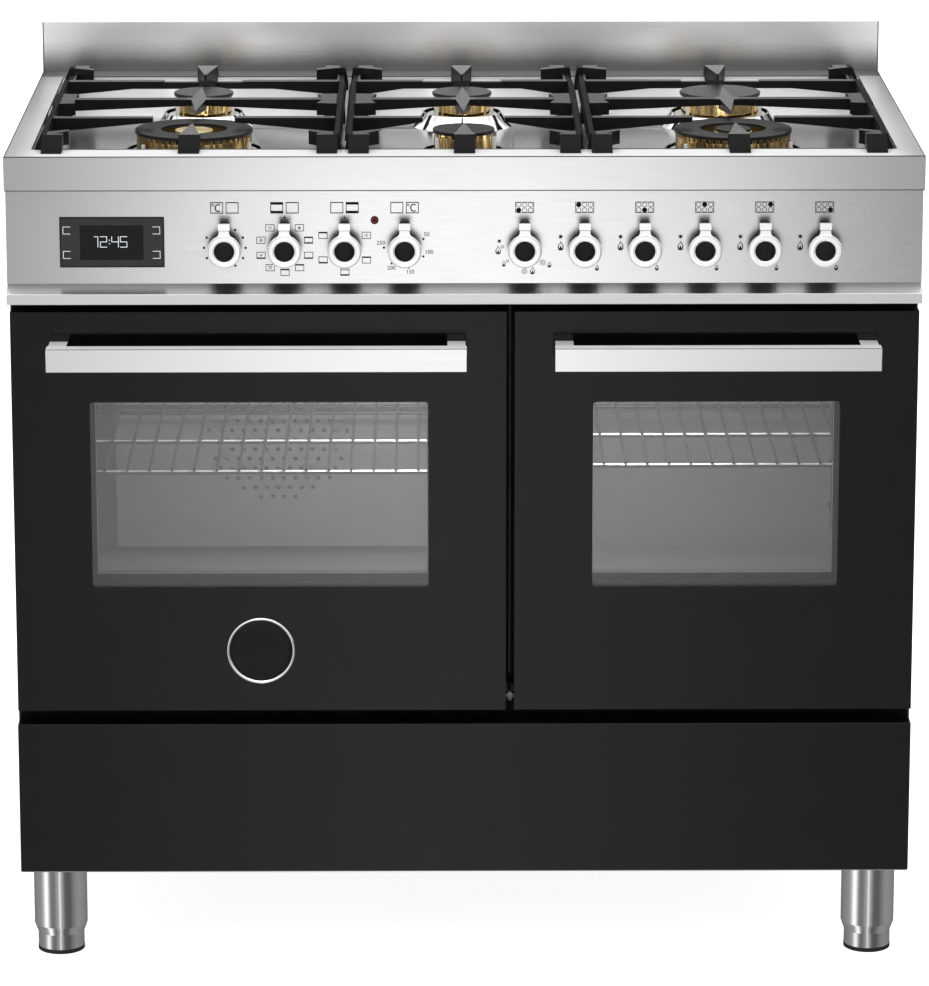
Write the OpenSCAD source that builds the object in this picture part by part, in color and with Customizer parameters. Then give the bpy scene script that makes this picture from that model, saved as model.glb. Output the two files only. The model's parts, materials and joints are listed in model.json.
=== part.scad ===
// Free-standing range cooker with two ovens and a six-burner gas hob.
// Millimetres. X to the right, Y to the rear, Z up, floor at Z = 0.
// Inside the modules Y is measured from the front face of the worktop.

/* [Overall] */
// Width over the side panels and worktop
body_w = 1000; // [990:2:1030]
// Depth from worktop front to rear panel
body_d = 600; // [598:1:620]
// Height of the underside of the drawer front
leg_h = 103.5; // [96:0.5:130]
// Height of the backguard above the worktop
guard_h = 59; // [40:1:90]

/* [Doors and drawer] */
// Height of the drawer front
drawer_h = 171.8; // [168:0.2:176]
// Grip gap over the drawer front
grip_gap = 16; // [14:0.5:18]
// Height of the oven doors
door_h = 453; // [450:1:458]
// Thickness of the oven doors
door_t = 38; // [36:0.5:39]
// How far the handle stands in front of the worktop
handle_out = 42; // [36:1:50]
// Height of the handle bar
handle_h = 25.5; // [20:0.5:30]

/* [Controls] */
// Distance between neighbouring knobs
knob_pitch = 65.4; // [64:0.2:67]
// Diameter of the knob ring
knob_d = 37; // [34:0.5:40]
// Length of the knob
knob_len = 20.5; // [18:0.5:22]
// How far a burner knob pushes in
push_in = 5; // [3:0.5:5]

/* [Hob] */
// Depth of the recessed pan below the margin
pan_depth = 35; // [30:0.5:35]
// Height of the grates above the margin
grate_up = 17; // [15:0.5:22]
// Sideways distance of the outer burners
burner_dx = 300; // [296:1:304]
// Diameter of the wok burners
wok_d = 131; // [120:1:134]

/* [Legs] */
// Outer diameter of the leg tubes
leg_d = 60; // [54:1:64]
// Diameter of the levelling feet
foot_d = 52; // [46:1:53]

/* [Hidden] */
$fn = 48;

mid_y = (body_d - handle_out) / 2;
hw = body_w / 2;
t = 2;
// heights, from the floor up
drw_top = leg_h + drawer_h;
door_z0 = drw_top + grip_gap;
door_z1 = door_z0 + door_h;
lip_z0 = door_z1 + 10;
lip_z1 = lip_z0 + 11.5;
pan_z0 = lip_z1 + 8.5;
fas_z0 = pan_z0 + 106.2;
top_z = fas_z0 + 37.5;
base_z = leg_h - 2.5;
frame_top = lip_z0 + 17.7;
// fronts, measured back from the worktop front
pnl = 18;
dface = 10;
dback = dface + door_t;
frm = 55;
axis_y = 20;
axis_z = door_z0 + 13.7;
pan_z = top_z - pan_depth;
seat_z = top_z - 16;
// doors: [x0, x1]
DL = [-hw + 2.7, 46];
DR = [54.7, hw - 2.3];
// windows
win_z0 = door_z0 + 141.2;
win_z1 = door_z0 + 351.6;
WL = [-412, -40];
WR = [141, 413];
// oven mouths
mouth_z0 = door_z0 + 68.7;
mouth_z1 = door_z0 + 420.7;
ML = [-446, -6];
MR = [112, 442];
cav_back = 482;
fan_x = -218;
fan_z = door_z0 + 222;
knob_z = pan_z0 + 39.7;
knob_front = pnl - push_in - 0.5 - knob_len;
KX = [-4, -3, -2, -1, 1, 2, 3, 4, 5, 6];
// burners: x, y, cap radius, crown radius, boss top radius, boss base radius
front_y = 158;
rear_y = 414;
B = [[-burner_dx, front_y, wok_d / 2, 61.5, 76, 90], [-burner_dx, rear_y, 34.5, 32.8, 45, 59],
     [0, front_y, 34.5, 32.8, 45, 59], [0, rear_y, 34.5, 32.8, 45, 59],
     [burner_dx, front_y, wok_d / 2, 61.5, 76, 90], [burner_dx, rear_y, 47, 44.8, 57, 70]];
grate_z = top_z + grate_up;
rack_zl = door_z0 + 256.5;
rack_zr = door_z0 + 263.5;

function arc(cx, cy, r, a0, a1, n = 4) = [for (i = [0:n]) let (a = a0 + (a1 - a0) * i / n) [cx + r * cos(a), cy + r * sin(a)]];
function rrect(x0, y0, x1, y1, r, n = 4) = concat(arc(x1 - r, y0 + r, r, -90, 0, n), arc(x1 - r, y1 - r, r, 0, 90, n),
  arc(x0 + r, y1 - r, r, 90, 180, n), arc(x0 + r, y0 + r, r, 180, 270, n));

module place() translate([0, -mid_y, 0]) children();
module box(a, b) translate(a) cube([b[0] - a[0], b[1] - a[1], b[2] - a[2]]);
module xprism(p, x0, x1) translate([x0, 0, 0]) rotate([90, 0, 90]) linear_extrude(x1 - x0) polygon(p);
module yprism(p, y0, y1) translate([0, y1, 0]) rotate([90, 0, 0]) linear_extrude(y1 - y0) polygon(p);
module zprism(p, z0, z1) translate([0, 0, z0]) linear_extrude(z1 - z0) polygon(p);
module xcyl(y, z, x0, x1, r) translate([x0, y, z]) rotate([0, 90, 0]) cylinder(r = r, h = x1 - x0);
module ycyl(x, z, y0, y1, r) translate([x, y0, z]) rotate([-90, 0, 0]) cylinder(r = r, h = y1 - y0);
module zcyl(x, y, z0, z1, r) translate([x, y, z0]) cylinder(r = r, h = z1 - z0);

// ---- hob ----
module boss(b) translate([b[0], b[1], pan_z - t]) rotate_extrude()
  polygon([[b[4] - t, seat_z - 3 - pan_z + t], [b[4], seat_z - 3 - pan_z + t], [b[4] + 7, 8], [b[5], t], [b[5], 0], [b[5] - t, 0], [b[4] + 5, 6]]);

module worktop() place() color("gainsboro") {
  difference() {
    box([-hw, 0, fas_z0], [hw, body_d - 3, top_z]);
    // open underside
    box([-hw + t, t, fas_z0 - 1], [hw - t, body_d - 3 - t, pan_z - t]);
    // hollow under the flat margins, outside the pan walls
    difference() {
      box([-hw + t, t, pan_z - t - 1], [hw - t, body_d - 3 - t, top_z - t]);
      zprism(rrect(-474, 42, 474, body_d - 44, 8), pan_z - t - 2, top_z);
    }
    // recessed pan
    zprism(rrect(-472, 44, 472, body_d - 46, 6), pan_z, top_z + 1);
    for (b = B) zcyl(b[0], b[1], pan_z - t - 1, pan_z + 1, b[5] - 0.6);
  }
  // bosses: ring-shaped pressings round the burner holes
  for (b = B) boss(b);
  // return flange that the control panel meets
  box([-hw + t, t, fas_z0], [hw - t, pnl + t, fas_z0 + t]);
}

module backguard() place() color("silver") difference() {
  box([-hw, body_d - 3, fas_z0], [hw, body_d, top_z + guard_h]);
  box([-hw + 6, body_d - 1.5, fas_z0 - 1], [hw - 6, body_d + 1, top_z + guard_h - 6]);
}

module burner_crowns() place() color("darkgoldenrod") for (b = B) translate([b[0], b[1], 0]) {
  if (b[2] > 60) difference() {
    zcyl(0, 0, seat_z - 6, top_z, b[3] + 2.5);
    zcyl(0, 0, seat_z + 4, top_z + 1, 40);
    zcyl(0, 0, seat_z - 7, top_z + 1, 6);
    for (i = [0:47]) rotate([0, 0, i * 7.5]) translate([55, -0.9, top_z - 4]) cube([12, 1.8, 5]);
  }
  if (b[2] > 60) difference() { zcyl(0, 0, seat_z + 4, top_z + (b[0] < 0 ? 3 : 1), 21); zcyl(0, 0, seat_z + 3, top_z - 2, 6); }
  if (b[2] <= 60) difference() {
    zcyl(0, 0, seat_z - 6, top_z, b[3]);
    zcyl(0, 0, seat_z + 2, top_z + 1, b[3] - 8);
    zcyl(0, 0, seat_z - 7, top_z + 1, 6);
    for (i = [0:23]) rotate([0, 0, i * 15 + 7.5]) translate([b[3] - 10, -0.9, top_z - 4]) cube([12, 1.8, 5]);
  }
}

module burner_caps() place() color("dimgray") for (i = [0:5]) let (b = B[i]) translate([b[0], b[1], 0]) {
  if (b[2] > 60) difference() { zcyl(0, 0, top_z, top_z + 4.5, b[2]); zcyl(0, 0, top_z - 1, top_z + 6, 36.5); }
  if (i == 4) zcyl(0, 0, top_z + 1, top_z + 4.5, 20);
  if (b[2] <= 60) zcyl(0, 0, top_z, top_z + 4.5, b[2]);
}

module burner_bowls() place() color("lightgray") for (b = B) translate([b[0], b[1], 0]) difference() {
  union() { zcyl(0, 0, seat_z - 34, seat_z - 6, b[3] > 50 ? 44 : 26); zcyl(0, 0, seat_z - 8, seat_z - 6, b[4] - 4); }
  zcyl(0, 0, seat_z - 31, seat_z - 5, b[3] > 50 ? 41 : 23);
}

module electrodes() place() color("ivory") for (b = B) for (a = [218, 335])
  translate([b[0] + (b[2] > 60 ? 69 : b[3] + 4.7) * cos(a), b[1] + (b[2] > 60 ? 69 : b[3] + 4.7) * sin(a), 0]) zcyl(0, 0, seat_z - 6, b[2] > 60 ? top_z - 7 : top_z - 3, 2.2);

// One cast grate: it bridges the pan on toes that stand on the front and rear margins. Two side rails, side
// fingers, a cross bar with a two-ended finger, a front and a rear finger block on low end bars.
module grate(x0, x1, f0, f1) {
  xc = (x0 + x1) / 2;
  bx = abs(xc) < 50 ? 0 : (xc < 0 ? -burner_dx : burner_dx);
  gy0 = 47;
  gy1 = body_d - 75;
  fz = top_z - 9.6;
  toe0 = [[17, top_z + 0.4], [24, top_z + 6], [42, grate_z], [gy0 + 4, grate_z], [gy0 + 4, top_z + 0.4]];
  toe1 = [[gy1 - 4, top_z + 0.4], [gy1 - 4, grate_z], [gy1 + 3, grate_z], [body_d - 44, top_z + 6], [body_d - 37, top_z + 0.4]];
  // side rails: outer and inner flank slopes f0 (left) and f1 (right), lower behind the rear fingers
  yprism([[x0 + f0 - 3, grate_z - 8], [x0 + f0, grate_z], [x0 + f0 + 5, grate_z], [x0 + f0 + 6, grate_z - 8]], gy0, rear_y + 7);
  yprism([[x1 - f1 + 3, grate_z - 8], [x1 - f1 - 6, grate_z - 8], [x1 - f1 - 5, grate_z], [x1 - f1, grate_z]], gy0, rear_y + 7);
  for (s = [0, 1]) {
    ex = s == 0 ? x0 : x1;
    d = s == 0 ? 1 : -1;
    // corner feet and their toes
    fl = s == 0 ? f0 : f1;
    yprism([[ex + d * (fl + 1), top_z + 1], [ex + d * (fl + 9), top_z + 1], [ex + d * (fl + 9), top_z + 9], [ex + d * (fl + 1), top_z + 9]], rear_y - 6, gy1 - 5);
    for (y = [gy0, gy1 - 16]) yprism([[ex, fz], [ex, fz + 8], [ex + d * fl, grate_z], [ex + d * (fl + 12), grate_z], [ex + d * (fl + 13), top_z], [ex + d * 22, fz]], y, y + 16);
    for (p = [toe0, toe1]) xprism(p, ex + (d > 0 ? fl + 1.5 : -fl - 24), ex + (d > 0 ? fl + 24 : -fl - 1.5));
    yprism([[ex + d * (fl + 1), top_z + 2], [ex + d * (fl + 24), top_z + 2], [ex + d * (fl + 23), grate_z], [ex + d * fl, grate_z]], gy1 - 15, gy1);
    // diagonal corner arms
    zprism([[ex + d * 10, gy0], [ex + d * 18, gy0], [ex + d * 37, gy0 + 20], [ex + d * 37, gy0 + 30], [ex + d * 10, gy0 + 14]], top_z + 2, grate_z);
    zprism([[ex + d * 10, gy1 - 14], [ex + d * 37, gy1 - 30], [ex + d * 37, gy1 - 20], [ex + d * 18, gy1], [ex + d * 10, gy1]], top_z + 2, grate_z);
    // middle foot and its gusset
    yprism([[ex, fz], [ex, fz + 8], [ex + d * fl, grate_z], [ex + d * (fl + 22), grate_z], [ex + d * (fl + 20), top_z + 3], [ex + d * 24, fz]], 266, 306);
    zprism([[ex + d * 6, 250], [ex + d * 32, 254], [ex + d * 26, 278], [ex + d * 26, 294], [ex + d * 32, 318], [ex + d * 6, 322]], top_z + 3, grate_z);
    // side fingers, thinner towards the burner
    tip = bx - d * 45.5;
    for (y = [front_y, rear_y]) yprism([[ex + d * (fl - 2), grate_z - 15], [ex + d * 20, grate_z - 15], [tip, grate_z - 5], [tip, grate_z], [ex + d * fl, grate_z]], y - 6.5, y + 6.5);
  }
  // cross bar and the two-ended finger in its middle
  yprism([[x0 + 10, grate_z], [x0 + 10, grate_z - 13], [x0 + 26, grate_z - 13], [bx - 5, grate_z - 7], [bx + 5, grate_z - 7], [x1 - 26, grate_z - 13], [x1 - 10, grate_z - 13], [x1 - 10, grate_z]], 278, 293);
  intersection() {
    zprism([[bx, front_y + 38], [bx + 9, 286], [bx, rear_y - 45.5], [bx - 9, 286]], grate_z - 12, grate_z);
    xprism([[front_y + 38, grate_z - 5], [278, grate_z - 12], [294, grate_z - 12], [rear_y - 45.5, grate_z - 5], [rear_y - 45.5, grate_z + 1], [front_y + 38, grate_z + 1]], bx - 20, bx + 20);
  }
  // low end bars
  box([x0 + 12, gy0, fz + 0.6], [x1 - 12, gy0 + 9, fz + 8.4]);
  box([x0 + 12, gy1 - 9, fz + 0.6], [x1 - 12, gy1, fz + 8.4]);
  // front and rear finger blocks with their toes
  for (p = [toe0, toe1]) xprism(p, bx - 11.5, bx + 11.5);
  intersection() {
    zprism([[bx - 12, gy0], [bx + 12, gy0], [bx + 10, gy0 + 4], [bx + 1, front_y - 44], [bx - 1, front_y - 44], [bx - 10, gy0 + 4]], fz, grate_z);
    xprism([[gy0, fz], [gy0 + 9, fz], [gy0 + 22, top_z + 3], [front_y - 44, grate_z - 8], [front_y - 44, grate_z + 1], [gy0, grate_z + 1]], bx - 20, bx + 20);
  }
  intersection() {
    zprism([[bx - 12, gy1], [bx - 9, gy1 - 18], [bx - 1, rear_y + 45], [bx + 1, rear_y + 45], [bx + 9, gy1 - 18], [bx + 12, gy1]], fz, grate_z);
    xprism([[gy1, fz], [gy1, grate_z + 1], [rear_y + 45, grate_z + 1], [rear_y + 45, grate_z - 8], [gy1 - 22, top_z + 3], [gy1 - 9, fz]], bx - 20, bx + 20);
  }
}
module grate_left() place() color([0.13, 0.13, 0.13]) grate(-470, -133.5, 8, 3.5);
module grate_centre() place() color([0.16, 0.16, 0.16]) grate(-130.5, 130.5, 2.5, 2.5);
module grate_right() place() color([0.13, 0.13, 0.13]) grate(133.5, 470, 3.5, 8);

// ---- control panel ----
module control_panel() place() color("lightgray") difference() {
  union() {
    box([-hw, pnl, pan_z0], [hw, pnl + t, fas_z0]);
    for (s = [-1, 1]) box([s > 0 ? hw - t : -hw, pnl + 1, pan_z0], [s > 0 ? hw : -hw + t, 52.5, fas_z0]);
  }
  for (k = KX) ycyl(k * knob_pitch, knob_z, pnl - 1, pnl + t + 1, 5.5);
  box([-440, pnl - 1, pan_z0 + 19.9], [-329, pnl + t + 1, pan_z0 + 72.5]);
  ycyl(-98.1, pan_z0 + 70.2, pnl - 1, pnl + t + 1, 3.5);
}

module panel_ledge() place() color("silver") {
  xprism([[0, lip_z0], [0, lip_z1], [pnl, pan_z0], [52.5, pan_z0], [52.5, pan_z0 - 2], [pnl + 0.5, pan_z0 - 2], [2, lip_z1 - 1.3], [2, lip_z0]], -hw + 0.5, hw - 0.5);
}

module display_unit() place() color([0.2, 0.2, 0.21]) {
  box([-441, pnl - 1, pan_z0 + 18.9], [-328, pnl, pan_z0 + 73.5]);
  box([-439.5, pnl, pan_z0 + 20.4], [-329.5, 44, pan_z0 + 72]);
}

module indicator_lens() place() color("red") {
  ycyl(-98.1, pan_z0 + 70.2, pnl - 1.5, pnl, 4.2);
  ycyl(-98.1, pan_z0 + 70.2, pnl, 34, 3.4);
}

module oven_switches() place() color("whitesmoke") for (i = [0:3]) let (x = KX[i] * knob_pitch) {
  box([x - 18, pnl + t + 4, knob_z - 20], [x + 18, 52, knob_z + 20]);
  ycyl(x, knob_z, pnl - 1, pnl + t + 4, 4.5);
  ycyl(x, knob_z, 0, pnl - 1, 3);
}

// knob: ring with a pointer tab, black centre disc, blind bore for the shaft
module knob(x, shaft_r) {
  difference() {
    union() {
      ycyl(x, knob_z, knob_front, knob_front + knob_len, knob_d / 2);
      box([x - 7, knob_front + 0.8, knob_z], [x + 7, knob_front + knob_len - 0.4, knob_z + 31]);
    }
    ycyl(x, knob_z, knob_front - 1, knob_front + 2.5, 11);
    ycyl(x, knob_z, knob_front + 7, knob_front + knob_len + 1, shaft_r + 0.35);
  }
  ycyl(x, knob_z, knob_front + 1, knob_front + 2.5, 10.7);
}
module knob_oven_1() place() color("gray") knob(KX[0] * knob_pitch, 3);
module knob_oven_2() place() color("gray") knob(KX[1] * knob_pitch, 3);
module knob_oven_3() place() color("gray") knob(KX[2] * knob_pitch, 3);
module knob_oven_4() place() color("gray") knob(KX[3] * knob_pitch, 3);
module knob_burner_1() place() color("gray") knob(KX[4] * knob_pitch, 3);
module knob_burner_2() place() color("gray") knob(KX[5] * knob_pitch, 3);
module knob_burner_3() place() color("gray") knob(KX[6] * knob_pitch, 3);
module knob_burner_4() place() color("gray") knob(KX[7] * knob_pitch, 3);
module knob_burner_5() place() color("gray") knob(KX[8] * knob_pitch, 3);
module knob_burner_6() place() color("gray") knob(KX[9] * knob_pitch, 3);

module spindle(x) { ycyl(x, knob_z, 0, 44, 3); ycyl(x, knob_z, pnl + t + 3, pnl + t + 5, 4.6); }
module spindle_1() place() color("silver") spindle(KX[4] * knob_pitch);
module spindle_2() place() color("silver") spindle(KX[5] * knob_pitch);
module spindle_3() place() color("silver") spindle(KX[6] * knob_pitch);
module spindle_4() place() color("silver") spindle(KX[7] * knob_pitch);
module spindle_5() place() color("silver") spindle(KX[8] * knob_pitch);
module spindle_6() place() color("silver") spindle(KX[9] * knob_pitch);

// manifold pipe with its taps, the feed to the rear inlet and the six burner feeds
module gas_manifold() place() color("darkkhaki") {
  difference() {
    union() {
      xcyl(70, knob_z, 40, 470, 8);
      ycyl(462, knob_z, 70, body_d - 30, 8.5);
      ycyl(462, knob_z, body_d - 40, body_d - 1, 10.5);
      for (i = [4:9]) let (x = KX[i] * knob_pitch) {
        box([x - 11, 34, knob_z - 11], [x + 11, 66, knob_z + 11]);
        zcyl(x, 54, knob_z + 10, knob_z + 26, 5);
      }
    }
    for (i = [4:9]) ycyl(KX[i] * knob_pitch, knob_z, 33, 52, 3.4);
    ycyl(462, knob_z, body_d - 38, body_d, 7);
  }
}

// ---- casing ----
module side_panels() place() color([0.1, 0.1, 0.1]) for (s = [-1, 1])
  difference() {
    box([s > 0 ? hw - t : -hw, 53, base_z], [s > 0 ? hw : -hw + t, body_d, fas_z0]);
    for (i = [0:7]) box([s * hw - 5, 470, fas_z0 - 90 - i * 12], [s * hw + 5, 560, fas_z0 - 86 - i * 12]);
  }

module rear_panel() place() color("darkgray") difference() {
  box([-hw + t, body_d - t, base_z], [hw - t, body_d, fas_z0]);
  for (i = [0:9]) for (x = [-300, 0, 300]) box([x - 60, body_d - t - 1, fas_z0 - 60 - i * 14], [x + 60, body_d + 1, fas_z0 - 55 - i * 14]);
  box([436, body_d - t - 1, knob_z - 24], [488, body_d + 1, knob_z + 24]);
  box([-480, body_d - t - 1, knob_z - 30], [-400, body_d + 1, knob_z + 20]);
}

module terminal_box() place() color([0.12, 0.12, 0.12]) difference() {
  union() {
    box([-478, body_d - 40, knob_z - 28], [-402, body_d - 1, knob_z + 18]);
    zcyl(-440, body_d - 18, knob_z - 42, knob_z - 28, 11);
  }
  zcyl(-440, body_d - 18, knob_z - 43, knob_z - 30, 6);
}

module base_frame() place() color([0.15, 0.15, 0.15]) {
  box([-hw + t, 22, base_z - 2], [hw - t, body_d - t, base_z]);
  for (s = [-1, 1]) box([s > 0 ? hw - 6 : -hw + t, 60, base_z], [s > 0 ? hw - t : -hw + 6, body_d - t, base_z + 20]);
  box([-hw + 6, body_d - 6, base_z], [hw - 6, body_d - t, base_z + 20]);
}

module front_frame() place() color([0.08, 0.08, 0.08]) {
  difference() {
    box([-hw + t, frm, base_z], [hw - t, frm + 3, frame_top]);
    box([ML[0], frm - 1, mouth_z0], [ML[1], frm + 4, mouth_z1]);
    box([MR[0], frm - 1, mouth_z0], [MR[1], frm + 4, mouth_z1]);
    box([-486, frm - 1, base_z + 6], [486, frm + 4, drw_top - 8]);
  }
  // thin edge strip seen between the doors, and the strip over the drawer grip
  box([49.6, 50, axis_z + 18], [51.1, frm, lip_z0 + 4]);
  box([-hw + t, 52.5, door_z0 - grip_gap + 2], [hw - t, frm, door_z0 - 4]);
}

module leg(x, y) translate([x, y, 0]) difference() {
  union() {
    zcyl(0, 0, 32, base_z - 2, leg_d / 2);
    translate([0, 0, 22]) cylinder(r1 = foot_d / 2 + 0.3, r2 = leg_d / 2, h = 10);
  }
  zcyl(0, 0, 21, base_z - 8, foot_d / 2 - 8);
}
module leg_tubes() place() color("silver") for (x = [-457, 457]) for (y = [52, body_d - 52]) leg(x, y);

module levelling_feet() place() color([0.3, 0.3, 0.3]) for (x = [-457, 457]) for (y = [52, body_d - 52]) {
  zcyl(x, y, 5, 22, foot_d / 2);
  translate([x, y, 0]) cylinder(r1 = foot_d / 2 - 2, r2 = foot_d / 2, h = 5);
  zcyl(x, y, 22, base_z - 12, 8);
}

module hinge_bar(x, w) {
  difference() {
    union() {
      box([x - w / 2, axis_y, axis_z - 5], [x + w / 2, frm, axis_z + 5]);
      ycyl(x, axis_z, frm - 2, frm, 5.5);
      xcyl(axis_y, axis_z, x - w / 2, x + w / 2, 6);
    }
  }
}
module hinge_brackets() place() color("gray") {
  hinge_bar(DL[0] + 15.3, 4);
  xcyl(axis_y, axis_z, DL[0] + 7, DL[0] + 24, 3);
  hinge_bar((DL[1] + DR[0]) / 2, 4);
  xcyl(axis_y, axis_z, DL[1] - 10, DR[0] + 10, 3);
  hinge_bar(DR[1] - 15.3, 4);
  xcyl(axis_y, axis_z, DR[1] - 24, DR[1] - 7, 3);
}

module drawer_runners() place() color("gray") for (s = [-1, 1]) {
  difference() {
    box([s > 0 ? 470 : -hw + 6.5, 62, 160], [s > 0 ? hw - 6.5 : -470, 540, 184]);
    box([s > 0 ? 469 : -486, 61, 164], [s > 0 ? 486 : -469, 541, 180]);
  }
  for (y = [100, 480]) box([s > 0 ? hw - 6.5 : -hw + t, y, 162], [s > 0 ? hw - t : -hw + 6.5, y + 30, 182]);
}

// ---- ovens ----
module cavity(M, fan) difference() {
  union() {
    box([M[0] - t, frm + 3, mouth_z0 - t], [M[1] + t, cav_back + t, mouth_z1 + t]);
    box([M[0] - 16, frm + 3, mouth_z0 - 16], [M[1] + 16, frm + 5, mouth_z1 + 16]);
  }
  box([M[0], frm, mouth_z0], [M[1], cav_back, mouth_z1]);
  if (fan) ycyl(fan_x, fan_z, cav_back - 1, cav_back + 3, 9);
}
module oven_cavity_left() place() color([0.22, 0.22, 0.23]) cavity(ML, true);
module oven_cavity_right() place() color([0.22, 0.22, 0.23]) cavity(MR, false);

module fan_cover() place() color([0.28, 0.28, 0.28]) difference() {
  box([-410, 434, mouth_z0 + 12], [-42, cav_back, mouth_z1 - 12]);
  box([-408, 436, mouth_z0 + 14], [-44, cav_back + 1, mouth_z1 - 14]);
  // staggered perforations in front of the fan
  for (i = [-7:7]) for (j = [-6:6]) let (x = (j + (i % 2 == 0 ? 0 : 0.5)) * 13.6, z = i * 11.5)
    if (x * x + z * z < 84 * 84) translate([fan_x + x, 430, fan_z + z]) rotate([-90, 0, 0]) cylinder(r = 2.75, h = 12, $fn = 16);
  for (i = [0:5]) for (s = [-1, 1]) box([s > 0 ? -45 : -411, 446, mouth_z0 + 60 + i * 40], [s > 0 ? -41 : -407, 474, mouth_z0 + 68 + i * 40]);
}

module fan_wheel() place() color("silver") {
  ycyl(fan_x, fan_z, 470, 472, 66);
  ycyl(fan_x, fan_z, 452, cav_back + 12, 3);
  for (i = [0:11]) translate([fan_x, 0, fan_z]) rotate([0, i * 30, 0]) box([38, 452, -0.8], [64, 470.5, 0.8]);
  ycyl(fan_x, fan_z, 456, 470, 9);
}

module fan_motor() place() color("gray") difference() {
  union() {
    ycyl(fan_x, fan_z, cav_back + t + 6, cav_back + 58, 32);
    box([fan_x - 55, cav_back + t + 2, fan_z - 9], [fan_x + 55, cav_back + t + 6, fan_z + 9]);
    for (s = [-1, 1]) box([fan_x + s * 48 - 6, cav_back + t, fan_z - 9], [fan_x + s * 48 + 6, cav_back + t + 2.5, fan_z + 9]);
  }
  ycyl(fan_x, fan_z, cav_back, cav_back + 20, 4);
}

// wire rack: frame wires, cross wires and bars running front to back
module rack(x0, x1, y0, y1, z) {
  for (y = [y0, y0 + 150, y0 + 300, y1]) xcyl(y, z - 2, x0, x1, 2.5);
  n = round((x1 - x0 - 20) / 24.5);
  for (i = [0:n]) ycyl(x0 + 10 + i * (x1 - x0 - 20) / n, z + 1.3, y0 - 3, y1 + 3, 1.7);
}
module ladder(x, d) {
  for (y = [90, 400]) zcyl(x + d * 3.4, y, mouth_z0 + 40, mouth_z1 - 40, 2.5);
  for (i = [0:4]) ycyl(x + d * 6.2, mouth_z0 + 68 + i * 52, 76, 414, 2.3);
  for (y = [90, 400]) for (z = [mouth_z0 + 46, mouth_z1 - 46]) box([d > 0 ? x : x - 4.2, y - 4, z - 4], [d > 0 ? x + 4.2 : x, y + 4, z + 4]);
}
module oven_racks() place() color("silver") {
  rack(ML[0] + 10, ML[1] - 10, 86, 418, rack_zl);
  rack(MR[0] + 10, MR[1] - 10, 86, 418, rack_zr);
  for (M = [ML, MR]) { ladder(M[0], 1); ladder(M[1], -1); }
}

module loop_bar(x0, x1, y0, y1, z, r) {
  for (x = [x0, x1]) ycyl(x, z, y0 - r, y1 + r, r);
  for (y = [y0, y1]) xcyl(y, z, x0 - 1, x1 + 1, r - 0.3);
}
module heating_elements() place() color("dimgray") {
  for (M = [ML, MR]) {
    loop_bar(M[0] + 50, M[1] - 50, 110, 380, mouth_z1 - 18, 3.2);
    loop_bar(M[0] + 95, M[1] - 95, 150, 340, mouth_z1 - 18, 3.2);
    loop_bar(M[0] + 50, M[1] - 50, 110, 400, mouth_z0 - 9, 3.2);
    for (x = [M[0] + 50, M[1] - 50]) zcyl(x, 360, mouth_z1 - 19, mouth_z1, 2.4);
  }
  translate([fan_x, 461, fan_z]) rotate([90, 0, 0]) rotate_extrude() translate([84, 0]) circle(r = 3.2, $fn = 24);
}

module oven_lamps() place() color("ivory") for (x = [ML[0] + 18, MR[1] - 40]) {
  ycyl(x, mouth_z1 - 60, cav_back - 14, cav_back, 14);
  ycyl(x, mouth_z1 - 60, cav_back + t, cav_back + 34, 17);
}

module door_seals() place() color([0.1, 0.1, 0.1]) for (M = [ML, MR])
  yprism_ring(M[0] - 13, mouth_z0 - 13, M[1] + 13, mouth_z1 + 13, 9, frm - 5, frm);
module yprism_ring(x0, z0, x1, z1, w, y0, y1) difference() {
  yprism(rrect(x0, z0, x1, z1, 12), y0, y1);
  yprism(rrect(x0 + w, z0 + w, x1 - w, z1 - w, 6), y0 - 1, y1 + 1);
}

// ---- doors ----
// outer panel: front skin with returned edges and a window opening; open at the back
module door_panel(D, W, lugx, side) difference() {
  box([D[0], dface, door_z0], [D[1], dback - 2, door_z1]);
  box([D[0] + t, dface + t, door_z0 + t], [D[1] - t, dback, door_z1 - t]);
  yprism(rrect(W[0], win_z0, W[1], win_z1, 4), dface - 1, dface + t + 1);
  // slot for the hinge bar, bore for the pin at the centre gap
  box([lugx - 5, dface + 3, door_z0 - 1], [lugx + 5, dback, door_z0 + 22]);
  xcyl(axis_y, axis_z, side > 0 ? D[1] - t - 1 : D[0] - 1, side > 0 ? D[1] + 1 : D[0] + t + 1, 3.4);
}
// inner liner: back plate with window opening, glass channel, bearing plates for the hinge pins
module door_liner(D, W, lugx, side) {
  difference() {
    box([D[0] + 0.5, dback - 2, door_z0 + 0.5], [D[1] - 0.5, dback, door_z1 - 0.5]);
    yprism(rrect(W[0] + 1.5, win_z0 + 5, W[1] - 1.5, win_z1 - 1.5, 4), dback - 3, dback + 1);
    box([lugx - 5, dback - 3, door_z0 - 1], [lugx + 5, dback + 1, door_z0 + 22]);
  }
  difference() {
    yprism(rrect(W[0] - 18, win_z0 - 18, W[1] + 18, win_z1 + 18, 5), dface + 7, dback - 2);
    yprism(rrect(W[0] - 16, win_z0 - 16, W[1] + 16, win_z1 + 16, 4), dface + 6, dback - 1);
  }
  for (x = [lugx - 9, lugx + 5, side > 0 ? D[1] - 7 : D[0] + 3]) difference() {
    box([x, dface + 3, door_z0 + 3], [x + 4, dback - 2, door_z0 + 40]);
    xcyl(axis_y, axis_z, x - 1, x + 5, 3.4);
  }
}
module door_glazing(W) {
  yprism(rrect(W[0] - 14, win_z0 - 14, W[1] + 14, win_z1 + 14, 4), dface + t, dface + t + 4);
  yprism(rrect(W[0] - 15, win_z0 - 15, W[1] + 15, win_z1 + 15, 4), dback - 6, dback - 2);
}
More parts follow.
